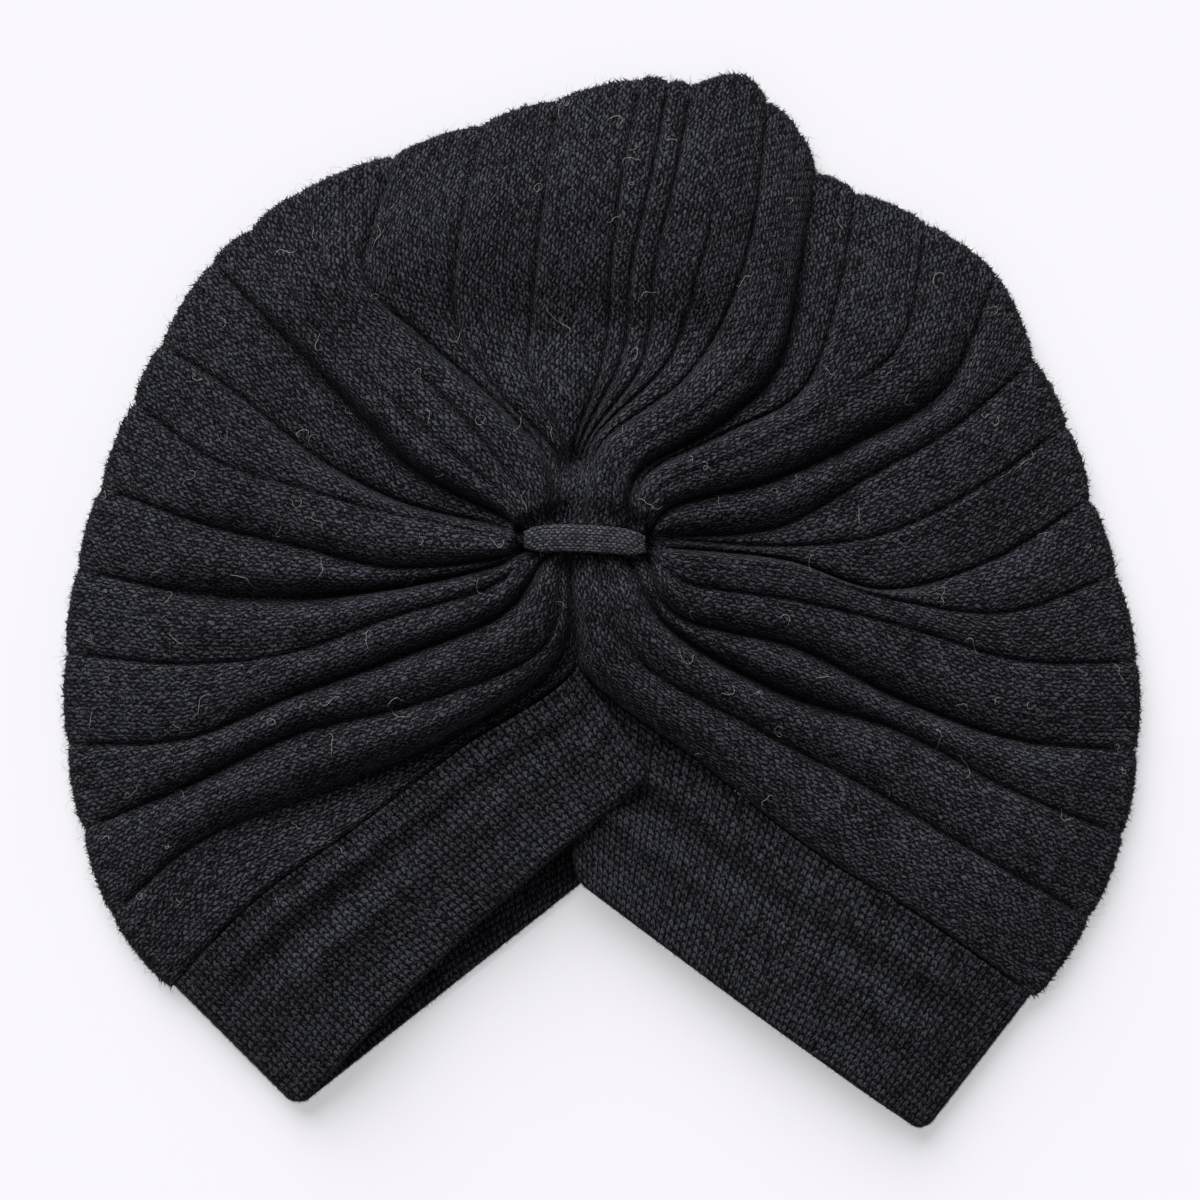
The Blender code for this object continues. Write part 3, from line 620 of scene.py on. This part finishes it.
def band_section(row, ends, reach, ridges):
    """One closed section across a band: outer face from seam to hem, round the hem, and back inside."""
    columns = np.linspace(0, 1, BAND_COLUMNS)
    faces = []
    width_share = 1.0
    for inside in (0.0, BAND_WALL):
        if row[0] == "front":
            _, seam, hem, top, sag, inset, from_end = row
            wave = 0.0
            for ridge in ridges:
                wave = wave + ridge.height * np.exp(-(((columns - ridge.place) / ridge.half) ** 2))
            wave = wave * (RIDGE_MEAN + RIDGE_SWELL * float(soft_noise(seam[None], RIDGE_RUN, 9)[0]))
            wave = wave + SOFT_HEIGHT * soft_noise(seam + (hem - seam) * columns[:, None], SOFT_SIZE, 5)
            height = top * (1 - sag * columns) + wave * blend(0, RIM_RISE, inset) - inside
            if from_end < CORNER_ROUND:
                width_share = corner_share(from_end)
        elif row[0] == "bend":
            _, way, turn = row
            radius = HALF_FOLD - inside
            inset = HALF_FOLD - radius * math.cos(math.radians(turn))
            height = np.full(columns.shape, HALF_FOLD + way * radius * math.sin(math.radians(turn)))
            if way == 1:
                seam, hem = ends["seam"](1 - inset / reach), ends["hem"](1 - inset / reach)
            else:
                share = inset / np.linalg.norm(ends["runs"][0])
                seam = ends["notch"] + ends["runs"][0] * share
                hem = ends["corner"] + ends["runs"][1] * share
            if inside == 0:
                width_share = corner_share(inset)
        else:
            _, seam, hem = row
            height = np.full(columns.shape, inside)
        way_across = (hem - seam) / np.linalg.norm(hem - seam)
        start = seam + SEAM_GAP * way_across
        edge = start + (hem - start) * width_share
        faces.append((start, edge, way_across, height))

    # The hem is a half round between the two faces, so both stop short of it by its radius
    (start, edge, way_across, upper), (start_in, edge_in, _, lower) = faces
    thick = abs(upper[-1] - lower[-1]) / 2
    middle = (upper[-1] + lower[-1]) / 2
    sign = 1.0 if upper[-1] >= lower[-1] else -1.0
    outer = start + (edge - way_across * thick - start) * columns[:, None]
    inner = start_in + (edge_in - way_across * thick - start_in) * columns[::-1, None]
    turns = np.radians(np.linspace(90, -90, HEM_STEPS + 2)[1:-1])
    hem_places = (edge - way_across * thick) + way_across * (thick * np.cos(turns))[:, None]
    hem_heights = middle + sign * thick * np.sin(turns)
    return np.concatenate(
        [
            np.column_stack([outer, upper]),
            np.column_stack([hem_places, hem_heights]),
            np.column_stack([inner, lower[::-1]]),
        ]
    )


def closed_strip(name, sections, material, wales_along):
    """A closed strip through closed sections, with its stitch map, capped at both ends."""
    rows, count = sections.shape[:2]
    index = np.arange(rows * count).reshape(rows, count)
    around = np.concatenate([index, index[:, :1]], axis=1)
    looped = np.concatenate([sections, sections[:, :1]], axis=1)
    across, along = run_lengths(looped, 1), run_lengths(looped[:, count // 4 : count // 4 + 1], 0)
    along = np.broadcast_to(along, across.shape)
    flat = np.stack([across, along] if wales_along else [along, across], axis=-1) * MM
    maps = np.stack([flat[:-1, :-1], flat[1:, :-1], flat[1:, 1:], flat[:-1, 1:]], axis=2)
    quads = [grid_quads(around).reshape(-1, 4)]
    half = (count + 1) // 2
    for row, flip in ((0, 1), (-1, -1)):
        near, far = index[row, :half], index[row, ::-1][:half]
        quads.append(np.stack([near[:-1], near[1:], far[1:], far[:-1]], axis=-1)[:, ::flip])
    stitches = np.concatenate([maps.reshape(-1, 4, 2), np.zeros((len(quads[1]) * 2, 4, 2))])
    return new_piece(name, sections.reshape(-1, 3), np.concatenate(quads), stitches, material)


def right_band_top(share):
    """Outer face of the right band, pressed down under the lap."""
    return BAND_TOP + (LAP_TOP - BAND_TOP) * blend(LAP_START_SHARE, LAP_FULL_SHARE, share)


def left_band_top(share):
    """Outer face of the left band, which climbs over the right one."""
    over = LAP_TOP + LAP_GAP + BAND_WALL
    return BAND_TOP + (over - BAND_TOP) * blend(LAP_START_SHARE, LAP_FULL_SHARE, share)


def loop_sections():
    """The soft strap arched over the gathers."""
    sections = []
    for along in np.linspace(-1, 1, LOOP_SECTIONS):
        x = along * LOOP_LENGTH / 2
        under = float(tie_arch(x)) + SEAT_GAP
        half = LOOP_WIDTH / 2 * (1 - LOOP_TAPER * along**6)
        turn = np.linspace(0, 2 * np.pi, LOOP_STEPS, endpoint=False)
        side, up = np.cos(turn), np.sin(turn)
        y = tie_sag(x) + half * np.sign(side) * np.abs(side) ** LOOP_SQUARE
        z = under + LOOP_THICK / 2 * (1 + np.sign(up) * np.abs(up) ** LOOP_SQUARE)
        sections.append(np.column_stack([np.full(LOOP_STEPS, x), y, z]))
    return np.array(sections)


# Where the tie is in the frame, by its loop
loop_rows = loop_sections().reshape(-1, 3)
loop_box = np.array(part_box("centre_loop"))
TIE_PLACE = (loop_box.sum(0) - loop_rows.min(0) - loop_rows.max(0)) / 2 * (1, 1, 0)


def linear(hex_colour):
    """A linear RGBA colour from an sRGB hex value."""
    parts = [int(hex_colour[i : i + 2], 16) / 255 for i in (1, 3, 5)]
    return [p / 12.92 if p <= 0.04045 else ((p + 0.055) / 1.055) ** 2.4 for p in parts] + [1.0]


def add(material, kind, settings=None, **inputs):
    """Adds a node. settings are its properties, and each input is a value or another node's output. An input
    is named for its socket, or i0, i1 and so on for the socket's number."""
    tree = material.node_tree
    node = tree.nodes.new(kind)
    for name, value in (settings or {}).items():
        setattr(node, name, value)
    for name, value in inputs.items():
        numbered = name[0] == "i" and name[1:].isdigit()
        slot = node.inputs[int(name[1:]) if numbered else name.replace("_", " ")]
        if isinstance(value, bpy.types.NodeSocket):
            tree.links.new(value, slot)
        else:
            slot.default_value = value
    return node.outputs


def knitted_wool(name, yarn, painted_pit_shade, column, course, lean, step, parting, wander, relief):
    """Fine-gauge wool knit: each stitch's leg is a small grain of yarn, in upright columns with painted
    shade, near black, in the gaps between, two columns to a stitch.

    yarn is the colour on top of the stitches and the next argument the painted shade between them, column and
    course the spacing of the legs and lean how far a leg climbs across its column, in millimetres.
    shifted, as a share of a course, and parting how far two columns close up into one stitch, from 0 to 1.
    wander is how unevenly the legs lie, in millimetres. relief is their height in metres.
    """
    wool = bpy.data.materials.new(name)
    wool.use_nodes = True
    wool.node_tree.nodes.clear()
    stitch = add(wool, "ShaderNodeUVMap", {"uv_map": "stitches"})["UV"]
    where = add(wool, "ShaderNodeTexCoord")["Object"]
    shift = add(wool, "ShaderNodeTexNoise", Vector=where, Scale=SHIFT_SCALE, Detail=5.0, Roughness=0.65)
    shift = shift["Color"]
    shift = add(wool, "ShaderNodeVectorMath", {"operation": "SUBTRACT"}, i0=shift, i1=(0.5, 0.5, 0.5))[0]
    shift = add(wool, "ShaderNodeVectorMath", {"operation": "SCALE"}, i0=shift, Scale=wander)[0]
    stitch = add(wool, "ShaderNodeVectorMath", {"operation": "ADD"}, i0=stitch, i1=shift)[0]
    split = add(wool, "ShaderNodeSeparateXYZ", Vector=stitch)

    # Across: which column a point is in, and how far over it. Along: which stitch, and how far up it
    columns = add(wool, "ShaderNodeMath", {"operation": "DIVIDE"}, i0=split["X"], i1=column)[0]
    number = add(wool, "ShaderNodeMath", {"operation": "FLOOR"}, i0=columns)[0]
    over = add(wool, "ShaderNodeMath", {"operation": "FRACT"}, i0=columns)[0]
    odd = add(wool, "ShaderNodeMath", {"operation": "FLOORED_MODULO"}, i0=number, i1=2.0)[0]
    sway = add(wool, "ShaderNodeMath", {"operation": "PINGPONG"}, i0=columns, i1=1.0)[0]
    climb = add(wool, "ShaderNodeMath", {"operation": "MULTIPLY"}, i0=sway, i1=lean / course)[0]
    rows = split["Y"]
    courses = add(wool, "ShaderNodeMath", {"operation": "MULTIPLY_ADD"}, i0=rows, i1=1 / course, i2=climb)[0]
    courses = add(wool, "ShaderNodeMath", {"operation": "MULTIPLY_ADD"}, i0=odd, i1=step, i2=courses)[0]
    which = add(wool, "ShaderNodeMath", {"operation": "FLOOR"}, i0=courses)[0]
    up = add(wool, "ShaderNodeMath", {"operation": "FRACT"}, i0=courses)[0]

    # A grain is round across the column and along the stitch
    across = add(wool, "ShaderNodeMath", {"operation": "MULTIPLY"}, i0=over, i1=math.pi)[0]
    across = add(wool, "ShaderNodeMath", {"operation": "SINE"}, i0=across)[0]
    across = add(wool, "ShaderNodeMath", {"operation": "MULTIPLY"}, i0=across, i1=1 - parting)[0]
    pair = add(wool, "ShaderNodeMath", {"operation": "MULTIPLY"}, i0=columns, i1=math.pi / 2)[0]
    pair = add(wool, "ShaderNodeMath", {"operation": "SINE"}, i0=pair)[0]
    pair = add(wool, "ShaderNodeMath", {"operation": "ABSOLUTE"}, i0=pair)[0]
    across = add(wool, "ShaderNodeMath", {"operation": "MULTIPLY_ADD"}, i0=pair, i1=parting, i2=across)[0]
    along = add(wool, "ShaderNodeMath", {"operation": "MULTIPLY"}, i0=up, i1=math.pi)[0]
    along = add(wool, "ShaderNodeMath", {"operation": "SINE"}, i0=along)[0]
    along = add(wool, "ShaderNodeMath", {"operation": "POWER"}, i0=along, i1=GRAIN_LENGTH)[0]
    height = add(wool, "ShaderNodeMath", {"operation": "MULTIPLY"}, i0=across, i1=along)[0]

    # Spun wool is never even: each strand, stitch, tuft of fibres and hand's breadth differs a little. Their
    # noises lie around a half, so each is stretched to lie around 1
    one = add(wool, "ShaderNodeCombineXYZ", X=number, Y=which, Z=0.0)[0]
    chance = add(wool, "ShaderNodeTexWhiteNoise", {"noise_dimensions": "3D"}, Vector=one)["Value"]
    fibre = add(wool, "ShaderNodeTexNoise", Vector=where, Scale=FIBRE_SCALE, Detail=3.0, Roughness=0.7)[0]
    cloud = add(wool, "ShaderNodeTexNoise", Vector=where, Scale=CLOUD_SCALE, Detail=3.0)[0]
    strand = add(wool, "ShaderNodeVectorMath", {"operation": "MULTIPLY"}, i0=stitch, i1=STRAND_SCALE)[0]
    strand = add(wool, "ShaderNodeTexNoise", Vector=strand, Scale=1.0, Detail=3.0, Roughness=0.7)[0]
    # The grain's height also darkens its colour: painted shade, near black in the pits between grains and
    # deeper on a grain's sides than on its top
    light = add(wool, "ShaderNodeMath", {"operation": "POWER"}, i0=height, i1=GRAIN_POWER)[0]
    full = 1 - PIT_LIGHT
    light = add(wool, "ShaderNodeMath", {"operation": "MULTIPLY_ADD"}, i0=light, i1=full, i2=PIT_LIGHT)[0]
    uneven = ((strand, STRAND_GAIN), (chance, STITCH_GAIN), (fibre, FIBRE_GAIN), (cloud, CLOUD_GAIN))
    for noise, gain in uneven:
        low = 1 - gain / 2
        part = add(wool, "ShaderNodeMath", {"operation": "MULTIPLY_ADD"}, i0=noise, i1=gain, i2=low)[0]
        light = add(wool, "ShaderNodeMath", {"operation": "MULTIPLY"}, i0=light, i1=part)[0]
    mixed = add(wool, "ShaderNodeMix", {"data_type": "RGBA"}, i0=light, i6=linear(painted_pit_shade), i7=linear(yarn))[2]
    rise = add(wool, "ShaderNodeMath", {"operation": "MULTIPLY_ADD"}, i0=fibre, i1=0.5, i2=height)[0]
    bump = add(wool, "ShaderNodeBump", Strength=1.0, Distance=relief, Height=rise)[0]
    shader = add(
        wool,
        "ShaderNodeBsdfPrincipled",
        Base_Color=mixed,
        Roughness=0.95,
        Specular_IOR_Level=0.05,
        Sheen_Weight=0.03,
        Sheen_Roughness=0.5,
        Sheen_Tint=linear("#8d9099"),
        Normal=bump,
    )[0]
    add(wool, "ShaderNodeOutputMaterial", Surface=shader)
    return wool


def loose_fibre(name, colour, roughness):
    """Single wool hairs, each too thin to show more than one flat colour: matt, with a slight shine."""
    hair = bpy.data.materials.new(name)
    hair.use_nodes = True
    shader = hair.node_tree.nodes["Principled BSDF"]
    shader.inputs["Base Color"].default_value = linear(colour)
    shader.inputs["Roughness"].default_value = roughness
    shader.inputs["Specular IOR Level"].default_value = 0.3
    return hair


def spread_over(piece, count, weight):
    """Random places on a piece, denser where weight is more: points and normals."""
    mesh = piece.data
    mesh.calc_loop_triangles()
    corners = np.zeros(len(mesh.loop_triangles) * 3, int)
    mesh.loop_triangles.foreach_get("vertices", corners)
    places = np.zeros(len(mesh.vertices) * 3)
    mesh.vertices.foreach_get("co", places)
    a, b, c = places.reshape(-1, 3)[corners.reshape(-1, 3)].transpose(1, 0, 2)
    normal = np.cross(b - a, c - a)
    area = np.linalg.norm(normal, axis=1)
    normal = normal / np.maximum(area, 1e-15)[:, None]
    chance = area * weight((a + b + c) / 3, normal)
    pick = SHUFFLE.choice(len(area), count, p=chance / chance.sum())
    s, t = SHUFFLE.random((2, count, 1))
    s, t = np.where(s + t > 1, 1 - s, s), np.where(s + t > 1, 1 - t, t)
    return a[pick] + (b - a)[pick] * s + (c - a)[pick] * t, normal[pick]


def fibres(name, roots, normals, length, lift, thick, bends, material):
    """Short loose hairs standing off the knit: three-sided spikes with this many bends each."""
    count = len(roots)
    side = SHUFFLE.normal(size=(count, 3))
    side -= (side * normals).sum(1, keepdims=True) * normals
    side /= np.linalg.norm(side, axis=1, keepdims=True)
    curl = np.cross(normals, side) * SHUFFLE.normal(0, HAIR_CURL, (count, 1))
    reach = length * SHUFFLE.uniform(*HAIR_LENGTHS, (count, 1))
    rise = lift * SHUFFLE.uniform(*HAIR_RISES, (count, 1))
    stations = []
    for i in range(bends + 2):
        part = i / (bends + 1)
        up = normals * reach * rise * part * (1.4 - HAIR_DROOP * part)
        stations.append(roots - normals * ROOT_DEPTH + side * reach * part + up + curl * reach * part * part)
    points = []
    first = np.cross(side, normals)
    for i, station in enumerate(stations[:-1]):
        width = thick * (1 - i / (bends + 1) * HAIR_TAPER)
        for turn in (90, 210, 330):
            around = first * math.cos(math.radians(turn)) + normals * math.sin(math.radians(turn))
            points.append(station + around * width / 2)
    points.append(stations[-1])
    points = np.stack(points, axis=1)
    points[..., 2] = np.maximum(points[..., 2], ROOT_DEPTH)
    per = points.shape[1]
    base = np.arange(count)[:, None] * per
    faces = [np.array([2, 1, 0, 0])]
    for i in range(bends):
        low = 3 * i
        for j in range(3):
            after = low + (j + 1) % 3
            faces.append(np.array([low + j, after, after + 3, low + 3 + j]))
    low = 3 * bends
    faces += [np.array([low + j, low + (j + 1) % 3, per - 1, per - 1]) for j in range(3)]
    quads = np.concatenate([base + face for face in faces])
    return new_piece(name, points.reshape(-1, 3) - TIE_PLACE, quads, None, material)


def lint(name, count, long, thick, pieces, material, seed):
    """Pale curly hairs that have settled on the knit, each a thin tube that follows the surface under it."""
    shuffle = np.random.default_rng(seed)
    trees = []
    for piece in pieces:
        trees.append(BVHTree.FromObject(piece, bpy.context.evaluated_depsgraph_get()))
    roots, _ = spread_over(pieces[0], count, lambda place, normal: (normal[:, 2] > 0.5) * 1.0)
    points, quads, made = [], [], 0
    for root in roots:
        place = np.array(root)
        way = shuffle.uniform(0, 2 * np.pi)
        turn = shuffle.normal(0, LINT_BEND)
        stride = long * shuffle.uniform(*LINT_LENGTHS) / LINT_STEPS
        path = []
        for _ in range(LINT_STEPS):
            tops = [tree.ray_cast(Vector((place[0], place[1], 0.1)), Vector((0, 0, -1)))[0] for tree in trees]
            tops = [top.z for top in tops if top is not None]
            if not tops:
                break
            path.append((place[0], place[1], max(tops)))
            turn = LINT_KEEP * turn + shuffle.normal(0, LINT_STRAY)
            way += turn
            place[:2] += stride * np.array([math.cos(way), math.sin(way)])
        if len(path) < LINT_LEAST:
            continue
        path = np.array(path)
        path[1:-1, 2] = (path[:-2, 2] + 2 * path[1:-1, 2] + path[2:, 2]) / 4
        path[:, 2] += LINT_RISE * (1 + 2 * np.abs(np.sin(np.linspace(0, np.pi * 2, len(path)))))
        along = np.gradient(path, axis=0)
        along /= np.linalg.norm(along, axis=1, keepdims=True)
        first = np.cross(along, (0, 0, 1.0))
        first /= np.linalg.norm(first, axis=1, keepdims=True)
        second = np.cross(along, first)
        taper = thick / 2 * np.sqrt(np.sin(np.linspace(LINT_TIP, np.pi - LINT_TIP, len(path))))[:, None]
        ring = [path + taper * (first * math.cos(t) + second * math.sin(t)) for t in THIRDS]
        points.append(np.stack(ring, axis=1).reshape(-1, 3))
        index = made + np.arange(len(path) * 3).reshape(-1, 3)
        index = np.concatenate([index, index[:, :1]], axis=1)
        quads.append(grid_quads(index).reshape(-1, 4))
        quads.append(np.array([[index[0, 0], index[0, 1], index[0, 2], index[0, 2]]]))
        quads.append(np.array([[index[-1, 2], index[-1, 1], index[-1, 0], index[-1, 0]]]))
        made += len(path) * 3
    return new_piece(name, np.concatenate(points) - TIE_PLACE, np.concatenate(quads), None, material)


# Ribbed lambswool: machine-knitted black yarn. It gives the eye a matt near-black of small slanting strokes,
# uneven from one to the next, with painted shade in the pits between
ribbed_wool = knitted_wool(
    "ribbed_lambswool",
    yarn="#484951",
    # painted shade in the pits between the stitches
    painted_pit_shade="#020203",
    column=COLUMN,
    course=COURSE,
    lean=1.2,
    step=0.5,
    parting=0.0,
    wander=2.7,
    relief=0.00022,
)

# The hems are the same yarn in plain knit: upright columns of small Vs, a touch darker and flatter
band_wool = knitted_wool(
    "tight_knit_hem",
    yarn="#414249",
    # painted shade in the pits between the stitches
    painted_pit_shade="#010102",
    column=BAND_COLUMN,
    course=BAND_COURSE,
    lean=0.9,
    step=0.0,
    parting=0.65,
    wander=1.6,
    relief=0.00018,
)

# The loop is a fine charcoal strip, paler and more even than what it ties
loop_wool = knitted_wool(
    "charcoal_knit_strip",
    yarn="#5f6067",
    # painted shade in the pits between the stitches
    painted_pit_shade="#131417",
    column=LOOP_COLUMN,
    course=LOOP_COURSE,
    lean=0.4,
    step=0.5,
    parting=0.3,
    wander=0.5,
    relief=0.00012,
)

# The hairs are drawn thicker than real fibres, so that they show. The black ones give the outline and the
# edges a soft dark fringe
fuzz_hair = loose_fibre("black_wool_hair", "#24252a", 0.8)

# The grey ones are black wool fibres painted grey, a painted highlight where they catch the light: they give
# the knit a thin bloom
painted_sheen_hair = loose_fibre("grey_hair_painted_sheen", "#a6a7ab", 0.6)

# Lint gives the eye a few pale curls on the black
pale_hair = loose_fibre("pale_lint", "#c2beb5", 0.7)

crown = crown_shell(ribbed_wool)
left_end = (LEFT_END_ANGLE, LEFT_END_SHARE)
right_end = (RIGHT_END_ANGLE, RIGHT_END_SHARE)
left_rows = band_rows(0, LEFT_FOLD_ANGLE, *left_end, LEFT_BOW, left_band_top, LEFT_RIDGES)
right_rows = band_rows(LAST, RIGHT_FOLD_ANGLE, *right_end, RIGHT_BOW, right_band_top, RIGHT_RIDGES)
left = closed_strip("band_left_knit", left_rows, band_wool, False)
right = closed_strip("band_right_knit", right_rows, band_wool, False)
loop = closed_strip("loop_knit", loop_sections(), loop_wool, True)


def on_the_front(place, normal):
    """Hairs show on the upper side."""
    return (place[:, 2] > frame_box[0][2] + HALF_FOLD) * np.clip(normal[:, 2] + 0.3, 0.05, 1.0)


def at_the_outline(place, normal):
    """Hairs that soften the outline, all round the folded edge."""
    return at_the_edges(place, normal) * (place[:, 2] < FOLD_THICK * 1.1)


def at_the_edges(place, normal):
    """Hairs where a face that looks outwards stands upright."""
    outwards = ((place - TIE_PLACE) * normal)[:, :2].sum(1) > 0
    return np.clip(1 - np.abs(normal[:, 2]), 0, 1) ** 2 * outwards


def hair_on(piece, name, count, weight, length, lift, thick, bends, material):
    """Hairs strewn over a piece: how many, where, how long, how upright and how thick, in metres."""
    roots, normals = spread_over(piece, int(count * HAIR_SHARE), weight)
    return fibres(name, roots, normals, length, lift, thick, bends, material)


HAIR_SHARE = 1.0

# Each takes its random numbers from SHUFFLE in turn, so their order counts
hairs = [
    # The grey hairs here are painted highlight: black fibres drawn grey where they catch the light
    hair_on(crown, "crown_fuzz", 14000, on_the_front, 0.0009, 0.35, 0.00004, 0, painted_sheen_hair),
    hair_on(crown, "outline_fuzz", 26000, at_the_outline, 0.0006, 0.9, 0.00013, 0, fuzz_hair),
    hair_on(crown, "outline_tufts", 7000, at_the_outline, 0.0008, 1.1, 0.00065, 0, fuzz_hair),
    hair_on(left, "band_left_fuzz", 3500, on_the_front, 0.0008, 0.3, 0.00004, 0, painted_sheen_hair),
    hair_on(right, "band_right_fuzz", 3500, on_the_front, 0.0008, 0.3, 0.00004, 0, painted_sheen_hair),
    hair_on(crown, "outline_strays", 3500, at_the_outline, 0.0020, 0.8, 0.00007, 2, fuzz_hair),
    hair_on(left, "left_edge_fuzz", 12000, at_the_edges, 0.0006, 0.9, 0.00012, 0, fuzz_hair),
    hair_on(right, "right_edge_fuzz", 12000, at_the_edges, 0.0006, 0.9, 0.00012, 0, fuzz_hair),
    hair_on(loop, "loop_fuzz", 700, on_the_front, 0.0006, 0.3, 0.00003, 0, painted_sheen_hair),
]
settled = lint("pale_lint", 120, 0.009, 0.00007, [crown, left, right, loop], pale_hair, 21)

for piece, node, slot in (
    (crown, "crown", "ribbed_wool"),
    (left, "band_left", "band_wool"),
    (right, "band_right", "band_wool"),
    (loop, "centre_loop", "loop_wool"),
):
    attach(piece, "root")
    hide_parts(node)
for piece in hairs + [settled]:
    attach(piece, "root")

# Table: matt white. It glows faintly, so that the shadows on it stay pale
TABLE_HALF = 3.0
table_mesh = bpy.data.meshes.new("table")
table_corners = [(x * TABLE_HALF, y * TABLE_HALF, 0.0) for x, y in ((-1, -1), (1, -1), (1, 1), (-1, 1))]
table_mesh.from_pydata(table_corners, [], [(0, 1, 2, 3)])
table_paint = bpy.data.materials.new("matt_white_table")
table_paint.use_nodes = True
table_shader = table_paint.node_tree.nodes["Principled BSDF"]
table_shader.inputs["Base Color"].default_value = linear("#bcbabe")
table_shader.inputs["Emission Color"].default_value = linear("#fbfaff")
table_shader.inputs["Emission Strength"].default_value = 0.42
table_shader.inputs["Roughness"].default_value = 0.8
table_mesh.materials.append(table_paint)
table = bpy.data.objects.new("table", table_mesh)
bpy.context.scene.collection.objects.link(table)

# Light: a broad soft source above the far edge, and a bright room
sun_data = bpy.data.lights.new("far_light", "SUN")
sun_data.energy = 4.6
sun_data.angle = math.radians(54)
sun = bpy.data.objects.new("far_light", sun_data)
sun.rotation_euler = Vector((0.32, -1.0, -0.66)).to_track_quat("-Z", "Y").to_euler()
bpy.context.scene.collection.objects.link(sun)
room = bpy.data.worlds.new("room")
room.use_nodes = True
room.node_tree.nodes["Background"].inputs["Color"].default_value = linear("#fbfaff")
room.node_tree.nodes["Background"].inputs["Strength"].default_value = 0.30
bpy.context.scene.world = room

# Camera, straight above, with the photograph's framing
PICTURE_WIDTH = 0.3120  # what its frame covers on the table
CAMERA_HEIGHT = 0.9
PICTURE_MIDDLE = TIE_PLACE + (0.0039, -0.0156, 0)
eye_data = bpy.data.cameras.new("eye")
eye_data.sensor_width = 36.0
eye_data.lens = eye_data.sensor_width * (CAMERA_HEIGHT - HALF_FOLD) / PICTURE_WIDTH
eye = bpy.data.objects.new("eye", eye_data)
eye.location = PICTURE_MIDDLE + (0, 0, CAMERA_HEIGHT)
bpy.context.scene.collection.objects.link(eye)
bpy.context.scene.camera = eye
bpy.context.scene.view_settings.view_transform = "Standard"
